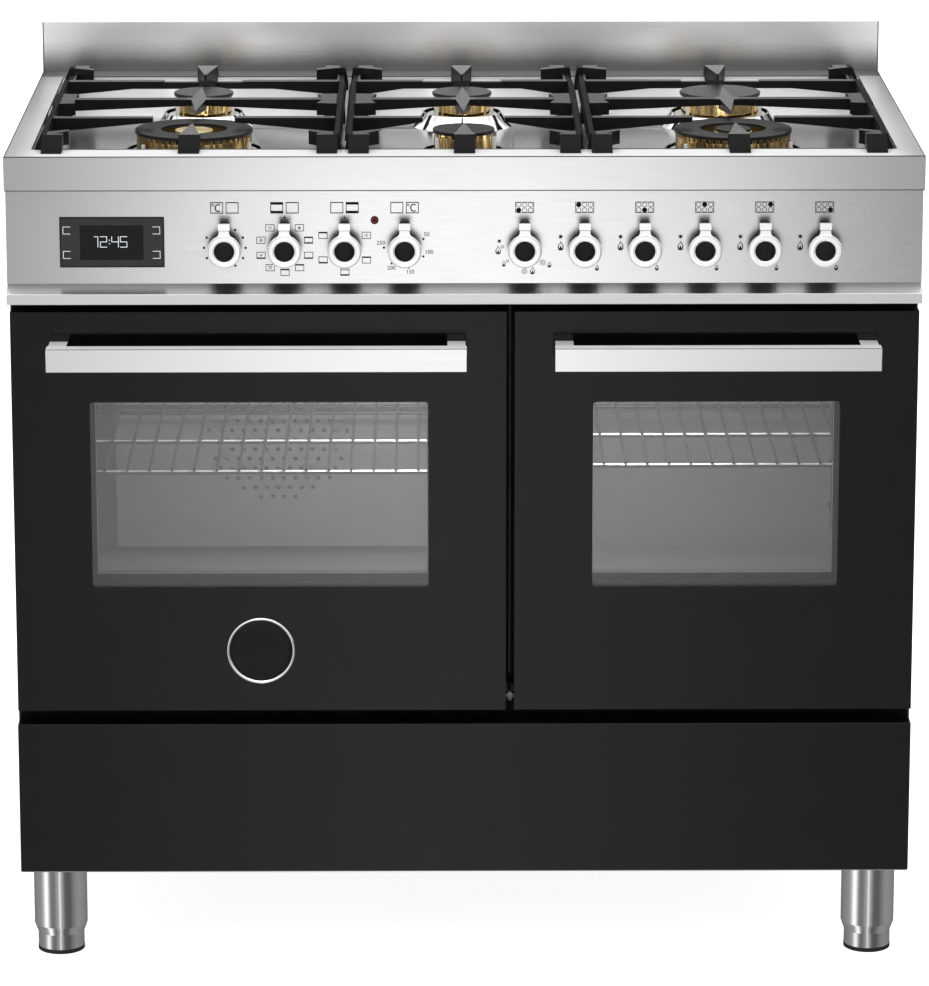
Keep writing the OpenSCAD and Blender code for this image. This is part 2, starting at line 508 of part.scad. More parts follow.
module door_handle(x0, x1) {
  z0 = door_z1 - 56.3;
  difference() {
    box([x0, -handle_out, z0], [x1, -handle_out + 18, z0 + handle_h]);
    box([x0 + 1.5, -handle_out + 1.5, z0 + 1.5], [x1 - 1.5, -handle_out + 16.5, z0 + handle_h - 1.5]);
  }
  for (x = [x0 + 1, x1 - 21]) box([x, -handle_out + 18, z0 + 2], [x + 20, dface, z0 + handle_h - 2]);
}
lug_l = DL[0] + 15.3;
lug_r = DR[1] - 15.3;
module door_left_panel() place() color([0.09, 0.09, 0.09]) door_panel(DL, WL, lug_l, 1);
module door_left_liner() place() color([0.12, 0.12, 0.12]) door_liner(DL, WL, lug_l, 1);
module door_left_glazing() place() color([0.5, 0.5, 0.5]) door_glazing(WL);
module door_left_handle() place() color("silver") door_handle(-455, 2);
module badge_disc() place() color("silver") difference() {
  ycyl(-226, door_z0 + 69.3, dface - 3, dface, 38);
  ycyl(-226, door_z0 + 69.3, dface - 4, dface - 1.5, 35.5);
}
module door_right_panel() place() color([0.09, 0.09, 0.09]) door_panel(DR, WR, lug_r, -1);
module door_right_liner() place() color([0.12, 0.12, 0.12]) door_liner(DR, WR, lug_r, -1);
module door_right_glazing() place() color([0.5, 0.5, 0.5]) door_glazing(WR);
module door_right_handle() place() color("silver") door_handle(98, 453);

// ---- drawer ----
module drawer_front() place() color([0.09, 0.09, 0.09]) difference() {
  box([-hw + 2, dface, leg_h], [hw - 2, 44, drw_top]);
  box([-hw + 4, dface + t, leg_h + t], [hw - 4, 45, drw_top - t]);
}
module drawer_tray() place() color([0.3, 0.3, 0.3]) {
  difference() {
    box([-464, 46, leg_h + 14], [464, 510, leg_h + 140]);
    box([-462, 48, leg_h + 16], [462, 508, leg_h + 141]);
  }
  box([-hw + 3, 44, leg_h + 1], [hw - 3, 46, drw_top - 1]);
  for (s = [-1, 1]) box([s > 0 ? 464 : -483, 70, 168], [s > 0 ? 483 : -464, 505, 176]);
}

worktop();
backguard();
control_panel();
panel_ledge();
display_unit();
indicator_lens();
side_panels();
rear_panel();
base_frame();
front_frame();
oven_cavity_left();
oven_cavity_right();
fan_cover();
fan_motor();
oven_racks();
heating_elements();
door_seals();
burner_crowns();
burner_caps();
burner_bowls();
electrodes();
gas_manifold();
oven_switches();
oven_lamps();
leg_tubes();
levelling_feet();
hinge_brackets();
drawer_runners();
terminal_box();
fan_wheel();
door_left_panel();
door_left_liner();
door_left_glazing();
door_left_handle();
badge_disc();
door_right_panel();
door_right_liner();
door_right_glazing();
door_right_handle();
drawer_front();
drawer_tray();
grate_left();
grate_centre();
grate_right();
knob_oven_1();
knob_oven_2();
knob_oven_3();
knob_oven_4();
knob_burner_1();
knob_burner_2();
knob_burner_3();
knob_burner_4();
knob_burner_5();
knob_burner_6();
spindle_1();
spindle_2();
spindle_3();
spindle_4();
spindle_5();
spindle_6();
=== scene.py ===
import json
import math
import random

import bmesh
import bpy
from mathutils import Matrix, Vector

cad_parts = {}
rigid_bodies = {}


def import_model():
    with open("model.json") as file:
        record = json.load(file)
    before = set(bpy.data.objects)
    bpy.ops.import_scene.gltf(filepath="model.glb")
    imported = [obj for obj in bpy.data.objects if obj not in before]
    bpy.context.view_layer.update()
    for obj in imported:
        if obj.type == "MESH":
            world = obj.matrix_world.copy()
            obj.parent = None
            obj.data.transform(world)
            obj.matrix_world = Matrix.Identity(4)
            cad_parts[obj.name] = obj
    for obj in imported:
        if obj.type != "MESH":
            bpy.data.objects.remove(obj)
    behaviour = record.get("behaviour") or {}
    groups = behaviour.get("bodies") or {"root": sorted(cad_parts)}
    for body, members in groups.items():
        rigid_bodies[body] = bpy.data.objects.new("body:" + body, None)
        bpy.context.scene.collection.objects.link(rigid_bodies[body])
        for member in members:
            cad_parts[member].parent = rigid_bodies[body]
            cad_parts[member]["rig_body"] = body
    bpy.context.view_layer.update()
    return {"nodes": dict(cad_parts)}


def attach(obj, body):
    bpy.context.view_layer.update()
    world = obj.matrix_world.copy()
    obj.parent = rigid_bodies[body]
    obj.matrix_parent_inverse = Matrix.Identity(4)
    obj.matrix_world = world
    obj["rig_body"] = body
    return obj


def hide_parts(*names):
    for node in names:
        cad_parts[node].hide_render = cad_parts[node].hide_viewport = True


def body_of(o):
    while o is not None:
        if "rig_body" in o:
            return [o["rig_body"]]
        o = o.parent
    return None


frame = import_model()
NODES = frame["nodes"]
MID = 279.0  # distance from the worktop front to the middle of the depth, mm


def P(x, s, z):
    """A place in millimetres, s measured back from the worktop front, as metres in the row frame."""
    return Vector((x / 1000.0, (s - MID) / 1000.0, z / 1000.0))


# ------------------------------------------------------------------ materials
def new_mat(name):
    m = bpy.data.materials.new(name)
    m.use_nodes = True
    nt = m.node_tree
    nt.nodes.clear()
    out = nt.nodes.new("ShaderNodeOutputMaterial")
    b = nt.nodes.new("ShaderNodeBsdfPrincipled")
    nt.links.new(b.outputs["BSDF"], out.inputs["Surface"])
    return m, nt, b, out


def coords(nt, scale):
    tc = nt.nodes.new("ShaderNodeTexCoord")
    mp = nt.nodes.new("ShaderNodeMapping")
    mp.inputs["Scale"].default_value = scale
    nt.links.new(tc.outputs["Object"], mp.inputs["Vector"])
    return mp.outputs["Vector"]


def noise(nt, vec, scale=1.0, detail=3.0, rough=0.55):
    n = nt.nodes.new("ShaderNodeTexNoise")
    n.inputs["Scale"].default_value = scale
    n.inputs["Detail"].default_value = detail
    n.inputs["Roughness"].default_value = rough
    nt.links.new(vec, n.inputs["Vector"])
    return n.outputs["Fac"]


def spread(nt, fac, lo, hi, a=0.3, b=0.7):
    r = nt.nodes.new("ShaderNodeMapRange")
    r.inputs["From Min"].default_value = a
    r.inputs["From Max"].default_value = b
    r.inputs["To Min"].default_value = lo
    r.inputs["To Max"].default_value = hi
    nt.links.new(fac, r.inputs["Value"])
    return r.outputs["Result"]


def tint(nt, fac, c0, c1, a=0.3, b=0.7):
    r = nt.nodes.new("ShaderNodeValToRGB")
    r.color_ramp.elements[0].position = a
    r.color_ramp.elements[1].position = b
    r.color_ramp.elements[0].color = (*c0, 1)
    r.color_ramp.elements[1].color = (*c1, 1)
    nt.links.new(fac, r.inputs["Fac"])
    return r.outputs["Color"]


def bump(nt, fac, dist, strength=1.0, under=None):
    n = nt.nodes.new("ShaderNodeBump")
    n.inputs["Distance"].default_value = dist
    n.inputs["Strength"].default_value = strength
    nt.links.new(fac, n.inputs["Height"])
    if under is not None:
        nt.links.new(under, n.inputs["Normal"])
    return n.outputs["Normal"]


def brushed(name, base, r0, r1, scale, depth, var=0.04, metallic=1.0, painted_shade_runs=(), satin=None):
    """Steel with a grain: scale is the noise frequency along x, y and z, low along the brushing.
    Each run (axis, v0, v1, k0, k1) multiplies the colour by k0 up to v0 and k1 from v1 on, in millimetres: painted
    shade.
    The last argument, (s0, s1, metallic), gives a band where the metallic changes from mirror-like steel to a bright
    satin: a painted reflection of the overhead light."""
    m, nt, b, _ = new_mat(name)
    v = coords(nt, scale)
    f = noise(nt, v, 1.0, 4.0, 0.6)
    b.inputs["Metallic"].default_value = metallic
    lo = tuple(c * (1 - var) for c in base)
    hi = tuple(min(1.0, c * (1 + var)) for c in base)
    colour = tint(nt, f, lo, hi)
    # band where the steel turns to the given metallic and reads bright: a painted reflection
    if satin:
        sep = nt.nodes.new("ShaderNodeSeparateXYZ")
        nt.links.new(coords(nt, (1000.0, 1000.0, 1000.0)), sep.inputs["Vector"])
        ramp = nt.nodes.new("ShaderNodeMapRange")
        ramp.interpolation_type = "SMOOTHSTEP"
        for key, val in (("From Min", satin[0] - MID), ("From Max", satin[1] - MID), ("To Min", metallic), ("To Max", satin[2])):
            ramp.inputs[key].default_value = val
        nt.links.new(sep.outputs["Y"], ramp.inputs["Value"])
        nt.links.new(ramp.outputs["Result"], b.inputs["Metallic"])
    # each run multiplies the colour along one axis, painting shade into the finish
    for axis, v0, v1, k0, k1 in painted_shade_runs:
        sep = nt.nodes.new("ShaderNodeSeparateXYZ")
        nt.links.new(coords(nt, (1000.0, 1000.0, 1000.0)), sep.inputs["Vector"])
        ramp = nt.nodes.new("ShaderNodeMapRange")
        ramp.interpolation_type = "SMOOTHSTEP"
        off = MID if axis == "Y" else 0.0
        for key, val in (("From Min", v0 - off), ("From Max", v1 - off), ("To Min", k0), ("To Max", k1)):
            ramp.inputs[key].default_value = val
        nt.links.new(sep.outputs[axis], ramp.inputs["Value"])
        mul = nt.nodes.new("ShaderNodeMix")
        mul.data_type = "RGBA"
        mul.blend_type = "MULTIPLY"
        mul.inputs["Factor"].default_value = 1.0
        nt.links.new(colour, mul.inputs[6])
        nt.links.new(ramp.outputs["Result"], mul.inputs[7])
        colour = mul.outputs[2]
    nt.links.new(colour, b.inputs["Base Color"])
    g = noise(nt, coords(nt, (3.0, 3.0, 3.0)), 1.0, 2.0)
    mix = nt.nodes.new("ShaderNodeMath")
    mix.operation = "ADD"
    mix.use_clamp = True
    nt.links.new(spread(nt, f, r0, r1), mix.inputs[0])
    nt.links.new(spread(nt, g, -0.015, 0.015), mix.inputs[1])
    nt.links.new(mix.outputs[0], b.inputs["Roughness"])
    nt.links.new(bump(nt, f, depth), b.inputs["Normal"])
    return m


def plain(name, c0, c1, r0, r1, scale, depth, metallic=0.0, coat=0.0, coat_rough=0.1, spec=0.5, detail=3.0):
    """A finish with a fine grain, the same in every direction."""
    m, nt, b, _ = new_mat(name)
    f = noise(nt, coords(nt, (scale, scale, scale)), 1.0, detail)
    g = noise(nt, coords(nt, (scale / 9, scale / 9, scale / 9)), 1.0, 2.0)
    b.inputs["Metallic"].default_value = metallic
    b.inputs["Specular IOR Level"].default_value = spec
    b.inputs["Coat Weight"].default_value = coat
    b.inputs["Coat Roughness"].default_value = coat_rough
    nt.links.new(tint(nt, g, c0, c1), b.inputs["Base Color"])
    nt.links.new(spread(nt, g, r0, r1), b.inputs["Roughness"])
    nt.links.new(bump(nt, f, depth), b.inputs["Normal"])
    return m


def glass_mat(name, see, back, veil=0.08, shine=0.03, blur=0.28):
    """Clear glass with a sharp reflection and, under it, the wide soft one of its coating."""
    m, nt, b, out = new_mat(name)
    nt.nodes.remove(b)
    tr = nt.nodes.new("ShaderNodeBsdfTransparent")
    tr.inputs["Color"].default_value = (*see, 1)
    gl = nt.nodes.new("ShaderNodeBsdfGlossy")
    gl.inputs["Color"].default_value = (*back, 1)
    f = noise(nt, coords(nt, (3.5, 3.5, 3.5)), 1.0, 1.0)
    nt.links.new(spread(nt, f, blur - 0.02, blur + 0.02), gl.inputs["Roughness"])
    mx = nt.nodes.new("ShaderNodeMixShader")
    mx.inputs["Fac"].default_value = veil
    nt.links.new(tr.outputs[0], mx.inputs[1])
    nt.links.new(gl.outputs[0], mx.inputs[2])
    g2 = nt.nodes.new("ShaderNodeBsdfGlossy")
    g2.inputs["Color"].default_value = (0.95, 0.95, 0.95, 1)
    nt.links.new(spread(nt, f, 0.015, 0.03), g2.inputs["Roughness"])
    m2 = nt.nodes.new("ShaderNodeMixShader")
    m2.inputs["Fac"].default_value = shine
    nt.links.new(mx.outputs[0], m2.inputs[1])
    nt.links.new(g2.outputs[0], m2.inputs[2])
    nt.links.new(m2.outputs[0], out.inputs["Surface"])
    return m


M = {}
M["panel"] = brushed("panel_steel", (0.40, 0.40, 0.395), 0.27, 0.32, (22, 900, 900), 0.000005, 0.015)
M["fascia"] = brushed("fascia_steel", (0.41, 0.41, 0.405), 0.28, 0.33, (22, 900, 900), 0.000006, 0.015)
# margin: painted shade darkens it towards the rear, in a strip at the rear edge, on the side margins and in thin lines
# at its outer edges
M["margin"] = brushed("margin_steel", (0.94, 0.94, 0.935), 0.30, 0.38, (6, 300, 300), 0.000006, 0.02, 0.28,
                      (("Y", 150, 545, 1.0, 0.66), ("Y", 548, 556, 1.0, 0.20), ("X", -497, -457, 0.50, 1.0), ("X", 457, 497, 1.0, 0.50),
                       ("X", -498.9, -497.5, 0.08, 1.0), ("X", 497.5, 498.9, 1.0, 0.14)))
# pan floor: the front is painted darker as shade, and a band at the rear turns less metallic to read bright, a painted
# reflection
M["pan"] = brushed("pan_steel", (0.92, 0.92, 0.91), 0.15, 0.20, (5, 500, 500), 0.000002, 0.02, 0.92,
                   (("Y", 425, 470, 0.38, 1.0),), (440, 480, 0.35))
# ledge: painted shade darkens it towards the top, under the control panel, above its bright front lip
M["ledge"] = brushed("ledge_steel", (0.84, 0.84, 0.84), 0.22, 0.28, (6, 700, 700), 0.000004, 0.02, 1.0,
                     (("Z", 765.5, 766.0, 1.0, 0.72), ("Z", 766.5, 774.0, 1.0, 0.48)))
# backguard: painted shade darkens it towards its foot on the worktop and in thin lines at its side edges
M["guard"] = brushed("guard_steel", (0.985, 0.985, 0.98), 0.25, 0.27, (4, 700, 700), 0.0000006, 0.006, 0.75,
                     (("Z", 920, 958, 0.26, 1.0), ("X", -499.2, -497.6, 0.2, 1.0), ("X", 497.6, 499.2, 1.0, 0.2)))
# pale grey for the thin lit line round the window panes: a painted highlight
M["pane_line"] = plain("pane_line", (0.26, 0.26, 0.255), (0.30, 0.30, 0.295), 0.4, 0.5, 300, 0.000004)
# near-black finish for thin lines along chosen edges: painted shade
M["edge"] = plain("edge_steel", (0.02, 0.02, 0.02), (0.03, 0.03, 0.03), 0.45, 0.55, 300, 0.000004, 0.0, 0.0, 0.1, 0.2)
M["boss"] = brushed("boss_steel", (0.85, 0.85, 0.85), 0.06, 0.10, (60, 60, 60), 0.000003, 0.02)
M["chrome"] = plain("chrome", (0.84, 0.84, 0.84), (0.88, 0.88, 0.88), 0.04, 0.08, 180, 0.000002, 1.0)
M["bar"] = brushed("bar_chrome", (0.86, 0.86, 0.86), 0.10, 0.15, (5, 400, 400), 0.000004, 0.02)
# lighter satin for the top faces of the handle bars: a painted highlight
M["bar_top"] = plain("bar_top", (0.87, 0.87, 0.87), (0.91, 0.91, 0.91), 0.42, 0.52, 300, 0.000004, 0.2)
M["leg"] = brushed("leg_steel", (0.74, 0.74, 0.73), 0.11, 0.17, (500, 500, 8), 0.00001, 0.04)
M["foot"] = brushed("foot_steel", (0.66, 0.66, 0.65), 0.12, 0.18, (500, 500, 8), 0.00001, 0.04)
M["rubber"] = plain("rubber", (0.012, 0.012, 0.012), (0.02, 0.02, 0.02), 0.6, 0.75, 900, 0.00004, 0.0, 0.0, 0.1, 0.12)
M["door"] = plain("door_enamel", (0.0020, 0.0020, 0.0018), (0.0026, 0.0026, 0.0023), 0.09, 0.13, 260, 0.000004, 0.0, 0.0, 0.05, 0.25)
M["black"] = plain("black_enamel", (0.010, 0.010, 0.010), (0.014, 0.014, 0.014), 0.32, 0.42, 700, 0.00002)
M["frame"] = plain("frame_enamel", (0.004, 0.004, 0.004), (0.006, 0.006, 0.006), 0.38, 0.48, 700, 0.00002, 0.0, 0.0, 0.1, 0.10)
M["bracket"] = plain("bracket_steel", (0.10, 0.10, 0.10), (0.15, 0.15, 0.15), 0.4, 0.5, 300, 0.00001, 0.8)
M["zinc"] = plain("zinc_sheet", (0.36, 0.37, 0.38), (0.52, 0.53, 0.54), 0.35, 0.5, 90, 0.00001, 1.0)
M["oven"] = plain("oven_enamel", (0.17, 0.17, 0.17), (0.195, 0.195, 0.195), 0.32, 0.40, 500, 0.00001)
M["motor"] = brushed("motor_steel", (0.5, 0.5, 0.5), 0.3, 0.4, (200, 200, 200), 0.00001)
M["wire"] = plain("chromed_wire", (0.94, 0.94, 0.94), (0.98, 0.98, 0.98), 0.38, 0.46, 400, 0.000004, 0.35)
# near-black copy of the chromed wire: painted shade
M["wire_dim"] = plain("wire_satin", (0.025, 0.025, 0.025), (0.04, 0.04, 0.04), 0.35, 0.45, 400, 0.000004, 0.6)
M["fan"] = plain("fan_steel", (0.04, 0.04, 0.04), (0.06, 0.06, 0.06), 0.4, 0.5, 300, 0.00001, 1.0)
M["element"] = plain("element_sheath", (0.10, 0.09, 0.085), (0.17, 0.15, 0.14), 0.4, 0.55, 300, 0.00002, 1.0)
M["seal"] = plain("seal_braid", (0.02, 0.02, 0.02), (0.035, 0.035, 0.035), 0.7, 0.85, 1500, 0.0002)
M["brass"] = plain("burner_brass", (0.76, 0.53, 0.22), (0.92, 0.68, 0.32), 0.10, 0.16, 300, 0.000004, 1.0)
M["brass_wall"] = plain("brass_wall", (0.30, 0.20, 0.08), (0.60, 0.42, 0.18), 0.20, 0.28, 300, 0.000006, 1.0)
# dark brass for the well inside the wok burner: painted shade under the cap
M["brass_well"] = plain("brass_well", (0.10, 0.065, 0.03), (0.16, 0.11, 0.05), 0.35, 0.45, 300, 0.000006, 1.0)
M["brass_dome"] = plain("brass_dome", (0.95, 0.72, 0.34), (1.0, 0.84, 0.50), 0.24, 0.34, 420, 0.00035, 0.8)
M["cap"] = plain("cap_enamel", (0.008, 0.008, 0.008), (0.012, 0.012, 0.012), 0.30, 0.40, 1200, 0.00003, 0.0, 0.0, 0.1, 0.35)
M["alu"] = plain("cast_aluminium", (0.55, 0.55, 0.55), (0.66, 0.66, 0.66), 0.38, 0.5, 500, 0.00004, 1.0)
M["ceramic"] = plain("electrode_ceramic", (0.80, 0.80, 0.77), (0.86, 0.86, 0.84), 0.12, 0.2, 300, 0.00001)
M["gas"] = plain("gas_brass", (0.55, 0.40, 0.18), (0.66, 0.50, 0.25), 0.28, 0.4, 150, 0.00002, 1.0)
M["plastic"] = plain("switch_plastic", (0.035, 0.035, 0.035), (0.05, 0.05, 0.05), 0.45, 0.55, 700, 0.00003)
M["iron"] = plain("cast_iron", (0.005, 0.005, 0.005), (0.008, 0.008, 0.008), 0.34, 0.46, 800, 0.00012, 0.0, 0.0, 0.1, 0.13)
# lighter and darker copies of the cast iron for the grates: painted highlights on the bar tops and middle, painted
# shade on the toes and side rails
M["iron_top"] = plain("cast_iron_top", (0.030, 0.030, 0.030), (0.050, 0.050, 0.050), 0.38, 0.50, 800, 0.00010, 0.0, 0.0, 0.1, 0.5)
M["iron_mid"] = plain("cast_iron_mid", (0.085, 0.085, 0.085), (0.125, 0.125, 0.125), 0.38, 0.50, 800, 0.00008, 0.0, 0.0, 0.1, 0.5)
M["iron_toe"] = plain("cast_iron_toe", (0.004, 0.004, 0.004), (0.007, 0.007, 0.007), 0.50, 0.65, 800, 0.00012, 0.0, 0.0, 0.1, 0.06)
M["knob"] = plain("knob_chrome", (0.93, 0.93, 0.93), (0.97, 0.97, 0.97), 0.16, 0.22, 200, 0.000003, 0.62)
# the next two finishes paint shade on the knobs: thin dark lines at the ring's rim and under the pointer block, and a
# black back behind the bright ring
M["line"] = plain("knob_line", (0.16, 0.16, 0.16), (0.22, 0.22, 0.22), 0.3, 0.4, 300, 0.000004, 0.5)
M["skirt"] = plain("knob_skirt", (0.004, 0.004, 0.004), (0.006, 0.006, 0.006), 0.50, 0.62, 400, 0.00002, 0.0, 0.0, 0.1, 0.12)
M["disc"] = plain("knob_disc", (0.005, 0.005, 0.005), (0.008, 0.008, 0.008), 0.26, 0.34, 400, 0.00001, 0.0, 0.0, 0.1, 0.16)
M["display"] = plain("display_glass", (0.020, 0.019, 0.018), (0.024, 0.023, 0.022), 0.22, 0.26, 300, 0.000004, 0.0, 0.0, 0.1, 0.35)
M["screen"] = plain("display_screen", (0.004, 0.004, 0.004), (0.006, 0.006, 0.006), 0.2, 0.24, 300, 0.000004, 0.0, 0.0, 0.1, 0.2)
M["red"] = plain("red_lens", (0.11, 0.006, 0.005), (0.17, 0.009, 0.007), 0.25, 0.32, 600, 0.00002, 0.0, 0.0, 0.1, 0.3)
M["ink"] = plain("panel_ink", (0.005, 0.005, 0.005), (0.008, 0.008, 0.008), 0.6, 0.7, 900, 0.00001, 0.0, 0.0, 0.1, 0.1)
M["lampglass"] = glass_mat("lamp_glass", (0.92, 0.92, 0.88), (0.9, 0.9, 0.9), 0.10, 0.06, 0.2)
M["glass"] = glass_mat("oven_glass", (0.965, 0.965, 0.96), (0.85, 0.85, 0.835), 0.054, 0.006, 0.12)

m, nt, b, _ = new_mat("display_digits")
b.inputs["Emission Color"].default_value = (0.85, 0.92, 1.0, 1)
b.inputs["Emission Strength"].default_value = 0.38
nt.links.new(tint(nt, noise(nt, coords(nt, (900, 900, 900))), (0.6, 0.65, 0.7), (0.75, 0.8, 0.85)), b.inputs["Base Color"])
M["digits"] = m


# ------------------------------------------------------------------ mesh helpers
def link(name, me, mats, body):
    o = bpy.data.objects.new(name, me)
    bpy.context.scene.collection.objects.link(o)
    for k in mats if isinstance(mats, (list, tuple)) else [mats]:
        me.materials.append(M[k])
    if body:
        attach(o, body)
    return o


def finish_mesh(bm, name, angle=35.0):
    me = bpy.data.meshes.new(name)
    bmesh.ops.recalc_face_normals(bm, faces=bm.faces)
    bm.to_mesh(me)
    bm.free()
    for p in me.polygons:
        p.use_smooth = True
    me.set_sharp_from_angle(angle=math.radians(angle))
    return me


def round_edges(o, width, seg=2, angle=35.0):
    b = o.modifiers.new("edges", "BEVEL")
    b.width = width / 1000.0
    b.segments = seg
    b.limit_method = "ANGLE"
    b.angle_limit = math.radians(angle)
    b.use_clamp_overlap = True
    b.harden_normals = True
    b.miter_outer = "MITER_ARC"
    return o


def cad_mesh(node):
    """A welded copy of a CAD node's mesh, with its flat faces joined into single ones."""
    bm = bmesh.new()
    bm.from_mesh(NODES[node].data)
    bm.transform(NODES[node].matrix_world)
    bmesh.ops.remove_doubles(bm, verts=bm.verts, dist=2e-6)
    bmesh.ops.dissolve_limit(bm, angle_limit=math.radians(0.6), verts=bm.verts, edges=bm.edges, use_dissolve_boundaries=False)
    for f in bm.faces:
        f.material_index = 0
    return bm


def body_name(node):
    b = body_of(NODES[node])
    return b if isinstance(b, str) else b[0]


def refine(node, mats, width=0.8, seg=2, pick=None, angle=35.0, body=None, line=None, line_w=0.55, cuts=()):
    """The CAD node's own shape with softened edges, and a finish for each face chosen by pick(centre, normal).
    Edges that line(a, b) accepts get a narrow rounding of their own in the last finish, a dark painted shade line."""
    bm = cad_mesh(node)
    for x in cuts:
        bmesh.ops.bisect_plane(bm, geom=bm.verts[:] + bm.edges[:] + bm.faces[:], dist=1e-6, plane_co=(x / 1000.0, 0, 0), plane_no=(1, 0, 0))
    bm.normal_update()
    if pick:
        for f in bm.faces:
            c = f.calc_center_median()
            f.material_index = pick(Vector((c.x * 1000, c.y * 1000 + MID, c.z * 1000)), f.normal)
    if line:
        layer = bm.edges.layers.float.new("bevel_weight_edge")
        for e in bm.edges:
            a, b = (Vector((v.co.x * 1000, v.co.y * 1000 + MID, v.co.z * 1000)) for v in e.verts)
            if len(e.link_faces) == 2 and e.calc_face_angle(0.0) > 0.6 and line(a, b):
                e[layer] = 1.0
    me = bpy.data.meshes.new(node + "_skin")
    bm.to_mesh(me)
    bm.free()
    for p in me.polygons:
        p.use_smooth = True
    me.set_sharp_from_angle(angle=math.radians(angle))
    o = link(node + "_skin", me, mats, body or body_name(node))
    if line:
        # the edges that line() accepts get a narrow bevel in the last finish: a dark painted shade line
        first = round_edges(o, line_w, 2, angle).modifiers[-1]
        first.name = "joint lines"
        first.limit_method = "WEIGHT"
        first.material = len(mats) - 1
    if width:
        round_edges(o, width, seg, angle)
    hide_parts(node)
    return o


# upward faces, which take the painted highlight on the handle bars
def up_down(c, n):
    return 1 if n.z > 0.75 else 0


def grate_finish(x0, x1, f0, f1, bx):
    """0 casting, 1 bar tops painted lighter as a highlight, 2 sloping toes and side rails in a duller, darker copy
    painted as shade, 3 the middle painted brighter still as a highlight.
    """
    def pick(c, n):
        if n.z > 0.95:
            if x0 + f0 + 6.5 < c.x < x1 - f1 - 6.5:
                return 3 if abs(c.x - bx) < 13 else 1
            return 2
        return 2 if n.z > 0.5 else 0
    return pick


# the lower front edges of a handle bar, drawn as a dark painted shade line
def bar_edge(a, b):
    return a.y < -41 and b.y < -41 and a.z > 713 and b.z > 713


def assign(node, key, other=None, pick=None):
    me = NODES[node].data
    me.materials.clear()
    me.materials.append(M[key])
    if pick:
        me.materials.append(M[other])
        w = NODES[node].matrix_world
        for p in me.polygons:
            c = w @ p.center
            p.material_index = pick(Vector((c.x * 1000, c.y * 1000 + MID, c.z * 1000)), w.to_3x3() @ p.normal)


# ------------------------------------------------------------------ nodes that keep their CAD shape
for node, key in {
    "side_panels": "black", "rear_panel": "zinc", "base_frame": "zinc", "front_frame": "frame",
    "oven_cavity_left": "oven", "oven_cavity_right": "oven", "fan_cover": "oven", "fan_motor": "motor",
    "oven_racks": "wire", "heating_elements": "element", "door_seals": "seal", "burner_crowns": "brass",
    "burner_caps": "cap", "burner_bowls": "alu", "electrodes": "ceramic", "gas_manifold": "gas",
    "oven_switches": "plastic", "oven_lamps": "lampglass", "leg_tubes": "leg", "levelling_feet": "foot",
    "hinge_brackets": "bracket", "drawer_runners": "zinc", "terminal_box": "plastic", "fan_wheel": "fan",
    "door_left_liner": "black", "door_right_liner": "black", "door_left_glazing": "glass", "door_right_glazing": "glass",
    "drawer_tray": "black", "indicator_lens": "red", "display_unit": "display", "badge_disc": "chrome",
    "worktop": "margin", "backguard": "guard", "control_panel": "panel", "panel_ledge": "ledge",
    "door_left_panel": "door", "door_right_panel": "door", "drawer_front": "door",
    "door_left_handle": "bar", "door_right_handle": "bar",
    "grate_left": "iron", "grate_centre": "iron", "grate_right": "iron",
}.items():
    assign(node, key)
for i in range(1, 5):
    assign(f"knob_oven_{i}", "knob")
for i in range(1, 7):
    assign(f"knob_burner_{i}", "knob")
    assign(f"spindle_{i}", "motor")


# only the upward faces of the front wire and the wire at 236 mm keep the bright chrome; the rest of the rack is painted
# dark as shade
assign("oven_racks", "wire", "wire_dim", lambda c, n: 0 if n.z > 0.45 and (c.y < 92 or abs(c.y - 236) < 4) else 1)
# faces in the gap between the doors take the lighter black enamel: a painted highlight for a thin lit line in the gap
assign("front_frame", "frame", "black", lambda c, n: 1 if 49.5 < c.x < 51.2 and c.y < 54.5 and 200 < c.z < 705 else 0)
RINGS = ((-300, 158, 76, 90), (-300, 414, 45, 59), (0, 158, 45, 59), (0, 414, 45, 59), (300, 158, 76, 90), (300, 414, 57, 70))


def hob_finish(c, n):
    """0 front and sides, 1 flat margin, 2 pan floor and walls, 3 bosses."""
    if c.z > 917.5:
        return 1
    if 40 < c.y < 558 and abs(c.x) < 474 and c.z > 881.5:
        if c.z > 883.3:
            for x, y, r0, r1 in RINGS:
                if r0 - 4 < math.hypot(c.x - x, c.y - y) < r1 + 1:
                    return 3
        return 2
    return 0


def wok_parts(c, n):
    """0 small crown, 1 ring of a wok burner, 2 the dome in its middle, 3 the well round it, painted dark as the shade
    under the cap.
    """
    d = math.hypot(abs(c.x) - 300, c.y - 158)
    return 2 if d < 23 else 3 if d < 42 else 1 if d < 72 else 0


# the margin's top edges and the backguard's side edges get the dark painted shade line of the last finish
refine("worktop", ["fascia", "margin", "pan", "boss", "edge"], 1.2, 3, hob_finish, 35.0, None,
       lambda a, b: a.z > 917.5 and b.z > 917.5, 1.0)
refine("backguard", ["guard", "edge"], 0.6, 2, None, 35.0, None, lambda a, b: abs(a.x) > 470 and abs(b.x) > 470 and a.x * b.x > 0, 1.0)
refine("control_panel", "panel", 0.4, 2, None)
refine("panel_ledge", "ledge", 0.4, 2, None)
refine("door_left_panel", "door", 1.2, 3, None)
refine("door_right_panel", "door", 1.2, 3, None)
refine("drawer_front", "door", 1.2, 3, None)
